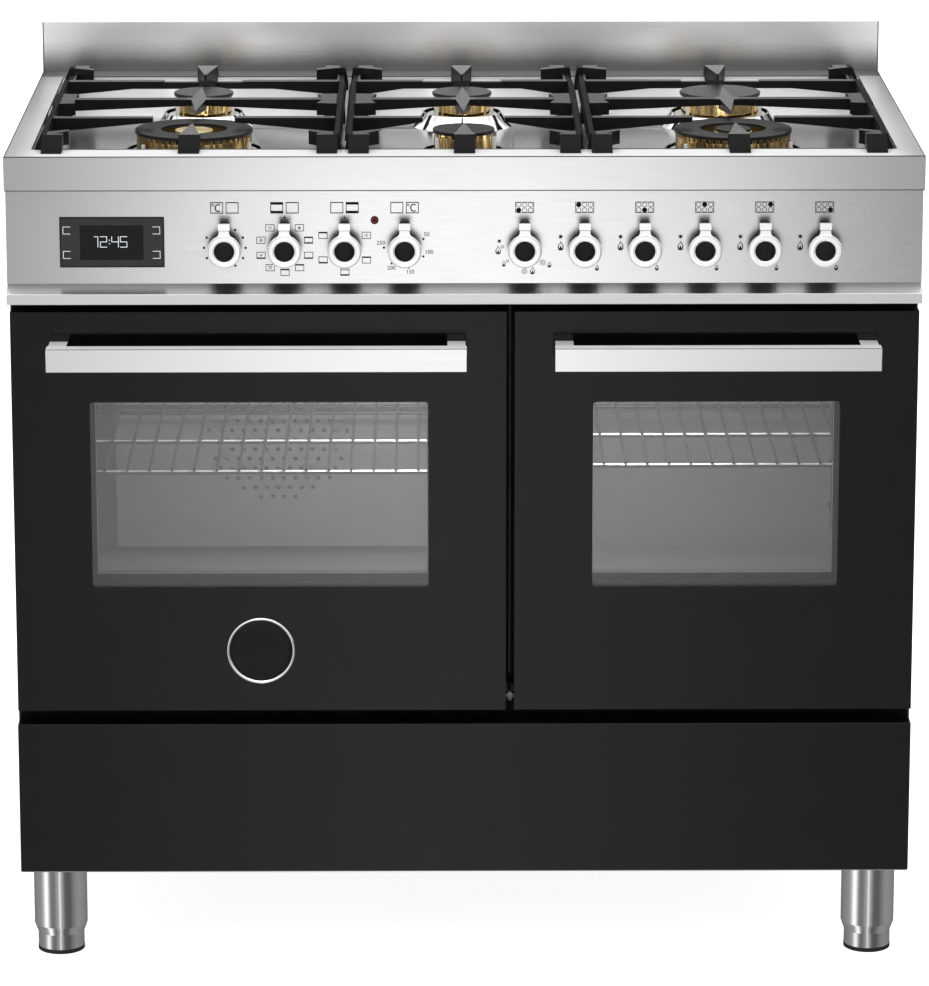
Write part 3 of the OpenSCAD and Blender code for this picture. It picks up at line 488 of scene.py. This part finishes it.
# handle bars: top faces get a lighter satin, a painted highlight; their lower front edges get a dark painted shade line
refine("door_left_handle", ["bar", "bar_top", "edge"], 1.0, 3, up_down, 35.0, None, bar_edge)
refine("door_right_handle", ["bar", "bar_top", "edge"], 1.0, 3, up_down, 35.0, None, bar_edge)
for g, x0, x1, f0, f1, bx in (("left", -470, -133.5, 8, 3.5, -300), ("centre", -130.5, 130.5, 2.5, 2.5, 0), ("right", 133.5, 470, 3.5, 8, 300)):
    refine("grate_" + g, ["iron", "iron_top", "iron_toe", "iron_mid"], 0.9, 3, grate_finish(x0, x1, f0, f1, bx), 25.0,
           cuts=(x0 + f0 + 6.5, bx - 13, bx + 13, x1 - f1 - 6.5))
refine("burner_caps", "cap", 1.2, 3, None)
refine("burner_crowns", ["brass", "brass_wall", "brass_dome", "brass_well"], 0.4, 2, wok_parts)

# ------------------------------------------------------------------ shapes built here
def pv(x, s, z):
    return (x / 1000.0, (s - MID) / 1000.0, z / 1000.0)


def prism_y(bm, pts, s0, s1, mi=0):
    """A closed prism from an outline of (x, z) points, from depth s0 to s1."""
    a = [bm.verts.new(pv(x, s0, z)) for x, z in pts]
    b = [bm.verts.new(pv(x, s1, z)) for x, z in pts]
    n = len(pts)
    faces = [bm.faces.new(a), bm.faces.new(b[::-1])]
    for i in range(n):
        faces.append(bm.faces.new((a[i], b[i], b[(i + 1) % n], a[(i + 1) % n])))
    for f in faces:
        f.material_index = mi


def ring_y(bm, outer, inner, s0, s1, mi=0):
    """A closed frame between two outlines with the same number of (x, z) points."""
    n = len(outer)
    v = [[bm.verts.new(pv(x, s, z)) for x, z in pts] for pts in (outer, inner) for s in (s0, s1)]
    oa, ob, ia, ib = v
    for i in range(n):
        j = (i + 1) % n
        for quad in ((oa[i], oa[j], ia[j], ia[i]), (ob[i], ib[i], ib[j], ob[j]), (oa[i], ob[i], ob[j], oa[j]), (ia[i], ia[j], ib[j], ib[i])):
            bm.faces.new(quad).material_index = mi


def lathe_y(bm, prof, cx, cz, n=48, mi=0):
    """A body of revolution about a line along Y: prof holds (radius, s), or (radius, s, material)."""
    rows = []
    for q in prof:
        if q[0] < 1e-6:
            rows.append([bm.verts.new(pv(cx, q[1], cz))])
        else:
            rows.append([bm.verts.new(pv(cx + q[0] * math.cos(2 * math.pi * i / n), q[1], cz + q[0] * math.sin(2 * math.pi * i / n))) for i in range(n)])
    span(bm, rows, prof, n, mi)


def lathe_z(bm, prof, cx, cs, n=48, mi=0):
    """A body of revolution about an upright line: prof holds (radius, z), or (radius, z, material)."""
    rows = []
    for q in prof:
        if q[0] < 1e-6:
            rows.append([bm.verts.new(pv(cx, cs, q[1]))])
        else:
            rows.append([bm.verts.new(pv(cx + q[0] * math.cos(2 * math.pi * i / n), cs + q[0] * math.sin(2 * math.pi * i / n), q[1])) for i in range(n)])
    span(bm, rows, prof, n, mi)


def span(bm, rows, prof, n, mi):
    for k in range(len(rows) - 1):
        a, b = rows[k], rows[k + 1]
        m = prof[k][2] if len(prof[k]) > 2 else mi
        for i in range(n):
            j = (i + 1) % n
            if len(a) == 1 and len(b) == 1:
                continue
            if len(a) == 1:
                f = bm.faces.new((a[0], b[i], b[j]))
            elif len(b) == 1:
                f = bm.faces.new((a[i], a[j], b[0]))
            else:
                f = bm.faces.new((a[i], a[j], b[j], b[i]))
            f.material_index = m


def rect(x0, z0, x1, z1):
    return [(x0, z0), (x1, z0), (x1, z1), (x0, z1)]


def circle(cx, cz, r, n=20, a0=0.0):
    return [(cx + r * math.cos(a0 + 2 * math.pi * i / n), cz + r * math.sin(a0 + 2 * math.pi * i / n)) for i in range(n)]


def dial(cx, cz, r, deg):
    """A point r from a knob's axis, deg clockwise from the top."""
    return cx + r * math.sin(math.radians(deg)), cz + r * math.cos(math.radians(deg))


KNOB_Z = 814.0
KX = [n * 65.4 for n in (-4, -3, -2, -1, 1, 2, 3, 4, 5, 6)]


def knob(i):
    x = KX[i]
    name = f"knob_oven_{i + 1}" if i < 4 else f"knob_burner_{i - 3}"
    bm = bmesh.new()
    # bright ring with a rolled edge and a thin dark ring near its rim, painted shade, over a skirt painted black as
    # shade that runs back to the panel
    lathe_y(bm, [(0, -4.5), (10.9, -4.5), (11.1, -6.6), (11.5, -7.5), (12.2, -7.95), (13.2, -8.0), (16.9, -7.98, 2), (17.35, -7.93), (17.8, -7.7), (18.2, -7.2), (18.4, -6.4), (18.45, -5.4), (18.45, -3.2),
                 (18.2, -2.6), (17.7, -2.4, 1), (17.6, 2, 1), (17.2, 11.6, 1), (16.4, 12.4, 1), (4.0, 12.4, 1), (4.0, 6.0, 1), (0, 6.0)], x, KNOB_Z, 64)
    # pointer: a waisted neck and a cross block at its end
    neck = [(-11.4, 13.6), (-8.2, 15.9), (-6.5, 17.9), (-5.7, 20.2), (-5.5, 24.4), (5.5, 24.4), (5.7, 20.2), (6.5, 17.9), (8.2, 15.9), (11.4, 13.6)]
    prism_y(bm, [(x + a, KNOB_Z + b) for a, b in neck], -6.9, -2.4, 0)
    prism_y(bm, [(x + a, KNOB_Z + b) for a, b in [(-6.5, 23.6), (-6.5, 30.7), (6.5, 30.7), (6.5, 23.6)]], -7.75, -2.0, 0)
    # thin dark strip under the cross block: painted shade
    prism_y(bm, [(x + a, KNOB_Z + b) for a, b in [(-6.3, 23.0), (-6.3, 23.7), (6.3, 23.7), (6.3, 23.0)]], -7.3, -2.1, 2)
    # the pointer's rear arm in the black skirt finish: painted shade
    prism_y(bm, [(x + a, KNOB_Z + b) for a, b in [(-9.5, 13.0), (-5.6, 19.0), (-5.2, 29.6), (5.2, 29.6), (5.6, 19.0), (9.5, 13.0)]], -2.2, 11.9, 1)
    o = link(name + "_body", finish_mesh(bm, name + "_body", 40), ["knob", "skirt", "line"], body_name(name))
    round_edges(o, 0.7, 3, 50)
    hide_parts(name)
    bm = bmesh.new()
    lathe_y(bm, [(0, -6.35), (6, -6.3), (10.2, -6.05), (10.7, -5.6), (10.7, -4.3), (0, -4.3)], x, KNOB_Z, 48)
    link(name + "_disc", finish_mesh(bm, name + "_disc", 50), "disc", body_name(name))


for i in range(10):
    knob(i)

# plain badge: chrome rim and a bare black field
bm = bmesh.new()
lathe_y(bm, [(0, 8.6), (34.4, 8.6), (35.0, 8.0), (35.4, 7.35), (36.2, 7.02), (37.0, 7.1), (37.8, 7.9), (38.0, 9.0), (38.0, 9.98), (0, 9.98)], -226, 360.6, 96)
badge = link("badge_rim", finish_mesh(bm, "badge_rim", 40), "chrome", "door_left")
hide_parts("badge_disc")
bm = bmesh.new()
lathe_y(bm, [(0, 7.9), (30, 8.0), (34.0, 8.25), (34.6, 8.7), (0, 8.75)], -226, 360.6, 96)
link("badge_field", finish_mesh(bm, "badge_field", 40), "disc", "door_left")

# printed signs on the control panel: thin raised ink
ink = bmesh.new()
S0, S1 = 17.86, 18.02


def box_sign(cx, cz, w=13.7, h=12.0, t=0.75, top=0.95, bottom=0.95):
    x0, x1, z0, z1 = cx - w / 2, cx + w / 2, cz - h / 2, cz + h / 2
    ring_y(ink, rect(x0, z0, x1, z1), rect(x0 + t, z0 + bottom, x1 - t, z1 - top), S0, S1)


def dot(cx, cz, r, n=16):
    prism_y(ink, circle(cx, cz, r, n), S0, S1)


def loop(cx, cz, r, t, n=20):
    ring_y(ink, circle(cx, cz, r, n), circle(cx, cz, r - t, n), S0, S1)


def bar_at(cx, cz, length, t, deg):
    a = math.radians(deg)
    u, v = Vector((math.cos(a), math.sin(a))), Vector((-math.sin(a), math.cos(a)))
    c = Vector((cx, cz))
    prism_y(ink, [tuple(c + u * (length / 2) * i + v * (t / 2) * j) for i, j in ((-1, -1), (1, -1), (1, 1), (-1, 1))], S0, S1)


def star(cx, cz, r):
    pts = []
    for k in range(16):
        q = r if k % 2 == 0 else r * 0.42
        pts.append((cx + q * math.cos(math.pi * k / 8 + 0.2), cz + q * math.sin(math.pi * k / 8 + 0.2)))
    prism_y(ink, pts, S0, S1)


FLAME = [(0.0, 0.5), (0.10, 0.30), (0.26, 0.10), (0.30, -0.10), (0.26, -0.32), (0.16, -0.47), (-0.16, -0.47), (-0.26, -0.32), (-0.30, -0.10), (-0.24, 0.06), (-0.12, 0.20)]


def flame(cx, cz, h, t=0.7):
    outer = [(cx + a * h, cz + b * h) for a, b in FLAME]
    k = 1 - 2 * t / (0.6 * h)
    inner = [(cx + a * h * k, cz + (b + 0.02) * h * k) for a, b in FLAME]
    ring_y(ink, outer, inner, S0, S1)
    prism_y(ink, [(cx + a * h * 0.34, cz - 0.16 * h + b * h * 0.42) for a, b in FLAME], S0, S1)


SIGN_Z = 858.3
for k, (lx, rx) in enumerate((("c", ""), ("bars", ""), ("", "bars"), ("", "c"))):
    for what, off in ((lx, -8.4), (rx, 8.4)):
        thick = 2.9 if what == "bars" else 1.05
        box_sign(KX[k] + off, SIGN_Z, 14.0, 12.6, 0.85, thick, thick)
        if what == "c":
            cx, cz = KX[k] + off, SIGN_Z
            loop(cx - 4.3, cz + 3.0, 1.4, 0.7, 12)
            arc_o = [(cx + 1.6 + 4.0 * math.cos(math.radians(a)), cz - 0.2 + 4.4 * math.sin(math.radians(a))) for a in range(50, 311, 20)]
            arc_i = [(cx + 1.6 + 2.6 * math.cos(math.radians(a)), cz - 0.2 + 3.15 * math.sin(math.radians(a))) for a in range(50, 311, 20)]
            for q in range(len(arc_o) - 1):
                prism_y(ink, [arc_o[q], arc_o[q + 1], arc_i[q + 1], arc_i[q]], S0, S1)
for k in (1, 2):
    prism_y(ink, [(KX[k] - 1.6, 846.6), (KX[k] + 1.6, 846.6), (KX[k], 849.4)], S0, S1)
for deg in (30, 60, 90, 120, 150, 240, 270, 300):
    dot(*dial(KX[0], KNOB_Z, 22.75, deg), 1.4)
for n, deg in enumerate((36, 72, 108, 144, 180, 216, 252, 288, 324)):
    cx, cz = dial(KX[1], KNOB_Z, 27.3, deg)
    top = 1.6 if n in (1, 3, 4) else 0.75
    low = 1.6 if n in (1, 2, 6) else 0.75
    box_sign(cx, cz, 9.9, 7.8, 0.7, top, low)
    if n == 0:
        star(cx, cz, 2.1)
    if n in (7, 8):
        for q in range(4):
            dot(cx + 1.35 * math.cos(q * math.pi / 2), cz + 1.35 * math.sin(q * math.pi / 2), 0.75 if n == 7 else 0.6, 8)
    if n == 6:
        bar_at(cx, cz + 0.6, 3.4, 0.5, 0)
        star(cx, cz - 0.4, 1.1)
    if n == 5:
        for a in (40, -40):
            bar_at(cx, cz, 5.6, 0.5, a)
        bar_at(cx, cz + 1.9, 4.6, 0.5, 0)
for n, deg in enumerate((60, 120, 180, 240, 300)):
    cx, cz = dial(KX[2], KNOB_Z, 27.3, deg)
    box_sign(cx, cz, 9.9, 7.8, 0.7, 1.7 if n in (1, 4) else 0.75, 1.7 if n in (2, 3) else 0.75)
    if n == 0:
        loop(cx, cz, 2.1, 0.4, 12)
        star(cx, cz, 1.1)
    if n == 2:
        bar_at(cx, cz + 2.2, 8.6, 0.4, 0)
for deg in (65, 116, 168.7, 219, 270):
    dot(*dial(KX[3], KNOB_Z, 22.6, deg), 1.3)
for k in range(4, 10):
    x = KX[k]
    full = {4: (0, 0), 5: (0, 1), 6: (1, 0), 7: (1, 1), 8: (2, 1), 9: (2, 0)}[k]
    ring_y(ink, rect(x - 10.3, SIGN_Z - 6.2, x + 10.3, SIGN_Z + 6.2), rect(x - 9.6, SIGN_Z - 5.5, x + 9.6, SIGN_Z + 5.5), S0, S1)
    for cx in range(3):
        for cz in range(2):
            px, pz = x - 6.5 + cx * 6.5, SIGN_Z - 3.0 + cz * 6.0
            loop(px, pz, 2.85, 0.6, 16)
            if (cx, cz) == full:
                dot(px, pz, 2.45)
    if k == 4:
        star(x - 27.5, KNOB_Z + 7.0, 2.9)
        flame(x - 28.8, KNOB_Z - 2.8, 10.2, 0.95)
        loop(x - 24.0, KNOB_Z + 0.6, 1.7, 0.65, 12)
        flame(x - 22.6, KNOB_Z - 18.0, 6.8, 0.75)
        loop(x - 18.4, KNOB_Z - 15.2, 1.6, 0.6, 12)
        loop(x + 0.0, KNOB_Z - 26.3, 3.0, 0.55, 16)
        loop(x + 0.0, KNOB_Z - 26.3, 1.6, 0.55, 12)
        flame(x + 8.7, KNOB_Z - 25.6, 9.0, 0.9)
        loop(x + 19.9, KNOB_Z - 16.8, 3.2, 0.55, 16)
        loop(x + 19.9, KNOB_Z - 16.8, 1.8, 0.5, 12)
        flame(x + 27.2, KNOB_Z - 18.9, 7.2, 0.8)
    else:
        star(x - 26.0, KNOB_Z + 11.8, 3.2)
        flame(x - 26.0, KNOB_Z + 1.8, 11.0, 1.15)
        flame(x + 13.8, KNOB_Z - 22.6, 7.0, 0.9)
link("panel_signs", finish_mesh(ink, "panel_signs", 30), "ink", "chassis")


def number(text, x, z, h, key, s, depth=0.07, body="chassis"):
    c = bpy.data.curves.new("number_" + text, "FONT")
    c.body = text
    c.size = h / 1000.0 / 0.70
    c.align_x, c.align_y = "CENTER", "CENTER"
    c.extrude = depth / 1000.0
    c.resolution_u = 3
    o = bpy.data.objects.new("number_" + text, c)
    bpy.context.scene.collection.objects.link(o)
    o.rotation_euler = (math.radians(90), 0, 0)
    o.location = P(x, s, z)
    c.materials.append(M[key])
    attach(o, body)
    return o


for text, dx, dz in (("50", 24.0, 14.6), ("100", 26.6, -5.0), ("150", 6.0, -27.0), ("200", -14.6, -22.6), ("250", -26.0, 5.2)):
    number(text, KX[3] + dx, KNOB_Z + dz, 4.4, "ink", 17.95).data.offset = 0.00005

# clock display: a darker screen, thin brackets at its keys and the time in thin strokes
bm = bmesh.new()
prism_y(bm, rect(-419.5, 800.9, -350.3, 839.2), 16.86, 17.05)
link("display_screen", finish_mesh(bm, "display_screen", 30), "screen", "chassis")
bm = bmesh.new()
for x0, x1, back in ((-438.0, -429.9, -438.0), (-340.3, -331.8, -332.5)):
    for z0, z1 in ((829.5, 837.8), (802.4, 810.8)):
        prism_y(bm, rect(back, z0, back + 0.5, z1), 16.84, 17.05)
        prism_y(bm, rect(x0, z0, x1, z0 + 0.5), 16.84, 17.05)
        prism_y(bm, rect(x0, z1 - 0.5, x1, z1), 16.84, 17.05)
link("display_brackets", finish_mesh(bm, "display_brackets", 30), "digits", "chassis")
bm = bmesh.new()
DZ0, DZ1, DT = 814.9, 827.1, 0.6


def stroke(x0, z0, x1, z1):
    prism_y(bm, rect(x0, z0, x1, z1), 16.70, 16.87)


def segments(x0, x1, names):
    zm = (DZ0 + DZ1) / 2
    if "a" in names:
        stroke(x0, DZ1 - DT, x1, DZ1)
    if "g" in names:
        stroke(x0, zm - DT / 2, x1, zm + DT / 2)
    if "d" in names:
        stroke(x0, DZ0, x1, DZ0 + DT)
    for nm, xx, za, zb in (("f", x0, zm, DZ1), ("b", x1 - DT, zm, DZ1), ("e", x0, DZ0, zm), ("c", x1 - DT, DZ0, zm)):
        if nm in names:
            stroke(xx, za, xx + DT, zb)


segments(-404.1, -399.6, "abc")
segments(-397.5, -389.9, "abged")
segments(-385.0, -377.2, "fgbc")
segments(-375.7, -367.9, "afgcd")
stroke(-387.8, 822.4, -386.8, 823.4)
stroke(-387.8, 818.4, -386.8, 819.4)
link("display_time", finish_mesh(bm, "display_time", 30), "digits", "chassis")

# dark surround of the clock, a painted shadow line under the worktop front in the seal finish, rubber pads under the
# feet
bm = bmesh.new()
ring_y(bm, rect(-441.6, 792.6, -327.4, 848.4), rect(-440.2, 794.0, -328.8, 847.0), 16.95, 17.95)
link("display_surround", finish_mesh(bm, "display_surround", 30), "disc", "chassis")
# a thin dark strip under the worktop front: painted shadow where the fascia overhangs the panel
bm = bmesh.new()
prism_y(bm, rect(-499.5, 879.7, 499.5, 880.45), 1.2, 17.9)
link("worktop_seal", finish_mesh(bm, "worktop_seal", 30), "seal", "chassis")
for k, (x, y) in enumerate(((-457, 52), (457, 52), (-457, 548), (457, 548))):
    bm = bmesh.new()
    lathe_z(bm, [(0, 0.1), (25.2, 0.1), (26.3, 0.8), (26.4, 4.6), (26.0, 5.2), (0, 5.2)], x, y, 48)
    link(f"foot_pad_{k + 1}", finish_mesh(bm, f"foot_pad_{k + 1}", 40), "rubber", "chassis")
# bezel of the pilot lens, and dark plates inside the louvres of the sides and the back, painted shade for the dark
# inside of the body
bm = bmesh.new()
ring_y(bm, circle(-98.1, 844.5, 4.35, 32), circle(-98.1, 844.5, 3.5, 32), 16.35, 17.9)
lathe_y(bm, [(0, 16.3), (1.3, 16.35), (1.5, 16.6), (0, 16.6)], -98.1, 844.5, 24)
link("lens_bezel", finish_mesh(bm, "lens_bezel", 40), "disc", "chassis")
bm = bmesh.new()
for x0, x1 in ((-498.0, -496.8), (496.8, 498.0)):
    prism_y(bm, rect(x0, 700.0, x1, 801.0), 462.0, 568.0)
for x in (-300, 0, 300):
    prism_y(bm, rect(x - 66, 688.0, x + 66, 832.0), 596.8, 598.0)
link("louvre_shields", finish_mesh(bm, "louvre_shields", 30), "plastic", "chassis")
# a pale line along the inner pane and round the rim of its opening: a painted highlight
for nm, x0, x1 in (("left", -407.4, -41.2), ("right", 142.2, 408.4)):
    z0, z1 = 441.6, 641.2
    bm = bmesh.new()
    prism_y(bm, rect(x0, z0, x1, z0 + 0.8), 39.3, 39.7)
    prism_y(bm, rect(x0, z0 + 0.9, x0 + 0.7, z1), 39.3, 39.7)
    prism_y(bm, rect(x1 - 0.7, z0 + 0.9, x1, z1), 39.3, 39.7)
    link("pane_line_" + nm, finish_mesh(bm, "pane_line_" + nm, 30), "pane_line", "door_" + nm)
    # the printed black border of the inner pane, below and on the outer side
    bm = bmesh.new()
    prism_y(bm, rect(x0 if nm == "right" else x0 - 4.4, 433.4, x1 if nm == "left" else x1 + 4.4, z0 - 0.1), 39.3, 39.7)
    if nm == "left":
        prism_y(bm, rect(x0 - 4.4, z0, x0 - 0.1, 642.2), 39.3, 39.7)
    else:
        prism_y(bm, rect(x1 + 0.1, z0, x1 + 4.4, 642.2), 39.3, 39.7)
    link("pane_border_" + nm, finish_mesh(bm, "pane_border_" + nm, 30), "disc", "door_" + nm)

# ------------------------------------------------------------------ stage, light and camera
me = bpy.data.meshes.new("floor")
me.from_pydata([(-30, -30, 0), (30, -30, 0), (30, 30, 0), (-30, 30, 0)], [], [(0, 1, 2, 3)])
floor = bpy.data.objects.new("floor", me)
bpy.context.scene.collection.objects.link(floor)
m, nt, b, _ = new_mat("pale_floor")
nt.links.new(tint(nt, noise(nt, coords(nt, (0.8, 0.8, 0.8)), 1.0, 4.0), (0.86, 0.86, 0.86), (0.89, 0.89, 0.885)), b.inputs["Base Color"])
b.inputs["Roughness"].default_value = 0.85
b.inputs["Specular IOR Level"].default_value = 0.15
b.inputs["Emission Color"].default_value = (1, 1, 1, 1)
b.inputs["Emission Strength"].default_value = 0.8
me.materials.append(m)
floor.visible_glossy = False

BACK_UP, TOP, AMBIENT = 0.12, 1.35, 0.8
ROOM = ((-180, 0.12), (-150, 0.22), (-117, 0.30), (-92, 0.35), (-78, 0.60), (-67, 1.40), (-57, 1.40), (-46, 0.40), (-34, 0.19), (-21, 0.26),
        (-12, 0.42), (-7, 0.47), (-3.6, 0.78), (0, 1.32), (3.6, 0.78), (7, 0.47), (12, 0.40), (22, 0.14), (44, 0.12), (54, 0.19), (69, 0.29),
        (85, 0.34), (103, 0.32), (126, 0.28), (150, 0.22), (180, 0.12))
world = bpy.data.worlds.new("studio")
bpy.context.scene.world = world
world.use_nodes = True
wn = world.node_tree
wn.nodes.clear()


def wmath(op, a, b=None, clamp=False):
    n = wn.nodes.new("ShaderNodeMath")
    n.operation = op
    n.use_clamp = clamp
    for k, v in enumerate((a, b)):
        if v is None:
            continue
        if isinstance(v, (int, float)):
            n.inputs[k].default_value = v
        else:
            wn.links.new(v, n.inputs[k])
    return n.outputs[0]


def wstep(v, x0, x1, y0, y1):
    n = wn.nodes.new("ShaderNodeMapRange")
    n.interpolation_type = "SMOOTHSTEP"
    for key, val in (("From Min", x0), ("From Max", x1), ("To Min", y0), ("To Max", y1)):
        n.inputs[key].default_value = val
    wn.links.new(v, n.inputs["Value"])
    return n.outputs["Result"]


tc = wn.nodes.new("ShaderNodeTexCoord")
sp = wn.nodes.new("ShaderNodeSeparateXYZ")
wn.links.new(tc.outputs["Generated"], sp.inputs["Vector"])
dx, dy, dz = sp.outputs["X"], sp.outputs["Y"], sp.outputs["Z"]
azim = wmath("MULTIPLY", wmath("ARCTAN2", dx, wmath("MULTIPLY", dy, -1.0)), 57.29578)  # 0 in front, + to the right
wide = wmath("ABSOLUTE", azim)
# soft room: bright straight ahead, a strip light on the left, darker behind, a large soft light overhead
ring = wn.nodes.new("ShaderNodeValToRGB")
cr = ring.color_ramp
cr.interpolation = "LINEAR"
while len(cr.elements) < len(ROOM):
    cr.elements.new(0.5)
for e, (deg, val) in zip(cr.elements, ROOM):
    e.position = (deg + 180) / 360
for e, (deg, val) in zip(cr.elements, ROOM):
    e.color = (val / 1.4, val / 1.4, val / 1.4, 1)
wn.links.new(wmath("DIVIDE", wmath("ADD", azim, 180.0), 360.0), ring.inputs["Fac"])
low = wmath("MULTIPLY", ring.outputs["Color"], 1.4)
over = wmath("MAXIMUM", wstep(dz, 0.50, 0.75, 0.0, 1.0), wmath("MULTIPLY", wstep(dz, 0.33, 0.50, 0.0, 1.0), wstep(dy, 0.0, 0.3, 0.0, 1.0)))
high = wmath("MAXIMUM", wstep(wide, 75.0, 115.0, 1.0, BACK_UP), low)
up = wstep(dz, -0.03, 0.10, 0.0, 1.0)
low = wmath("ADD", wmath("MULTIPLY", low, wmath("SUBTRACT", 1.0, up)), wmath("MULTIPLY", high, up))
lum = wmath("ADD", wmath("MULTIPLY", low, wmath("SUBTRACT", 1.0, over)), wmath("MULTIPLY", over, TOP))
paths = wn.nodes.new("ShaderNodeLightPath")
bg = wn.nodes.new("ShaderNodeBackground")
bg.inputs["Color"].default_value = (1.0, 1.0, 1.0, 1)
wn.links.new(lum, bg.inputs["Strength"])
white = wn.nodes.new("ShaderNodeBackground")
white.inputs["Color"].default_value = (1.0, 1.0, 1.0, 1)
white.inputs["Strength"].default_value = 1.0
soft = wn.nodes.new("ShaderNodeBackground")
soft.inputs["Color"].default_value = (1.0, 1.0, 1.0, 1)
soft.inputs["Strength"].default_value = AMBIENT
mix0 = wn.nodes.new("ShaderNodeMixShader")
wn.links.new(paths.outputs["Is Diffuse Ray"], mix0.inputs["Fac"])
wn.links.new(bg.outputs[0], mix0.inputs[1])
wn.links.new(soft.outputs[0], mix0.inputs[2])
mix1 = wn.nodes.new("ShaderNodeMixShader")
wn.links.new(paths.outputs["Is Camera Ray"], mix1.inputs["Fac"])
wn.links.new(mix0.outputs[0], mix1.inputs[1])
wn.links.new(white.outputs[0], mix1.inputs[2])
wo = wn.nodes.new("ShaderNodeOutputWorld")
wn.links.new(mix1.outputs[0], wo.inputs["Surface"])


def area(name, where, at, sx, sy, power, colour=(1, 1, 1)):
    d = bpy.data.lights.new(name, "AREA")
    d.shape = "RECTANGLE"
    d.size, d.size_y = sx, sy
    d.energy = power
    d.color = colour
    o = bpy.data.objects.new(name, d)
    bpy.context.scene.collection.objects.link(o)
    o.location = where
    o.rotation_euler = (Vector(at) - Vector(where)).to_track_quat("-Z", "Y").to_euler()
    o.visible_camera = False
    return o


panel_soft = area("panel_soft", (0.0, -1.75, 0.46), (0.0, -0.27, 0.84), 0.84, 0.7, 4.25)
steel = bpy.data.collections.new("front_steel")
for o in bpy.data.objects:
    if o.name in ("control_panel_skin", "worktop_skin"):
        steel.objects.link(o)
panel_soft.light_linking.receiver_collection = steel
for nm, x, aim in (("lamp_left", -75, -260), ("lamp_right", 172, 320)):
    area(nm, P(x, 80, 690), P(aim, 440, 470), 0.09, 0.05, 1.5)
area("top_soft", (0.0, -0.3, 2.7), (0.0, 0.1, 0.8), 2.4, 1.6, 22)

CAM_AT, CAM_PITCH, CAM_YAW, CAM_F = (-42, -5400, 1860), 13.71, 0.443, 5050
cam_data = bpy.data.cameras.new("camera")
cam = bpy.data.objects.new("camera", cam_data)
bpy.context.scene.collection.objects.link(cam)
cam_data.sensor_width = 36.0
cam_data.sensor_fit = "AUTO"
cam_data.lens = 36.0 * CAM_F / 986
cam_data.clip_start, cam_data.clip_end = 0.05, 200
cam.location = P(*CAM_AT)
cam.rotation_euler = (math.radians(90 - CAM_PITCH), 0.0, -math.radians(CAM_YAW))
bpy.context.scene.camera = cam
bpy.context.scene.view_settings.view_transform = "Standard"
bpy.context.scene.view_settings.look = "None"
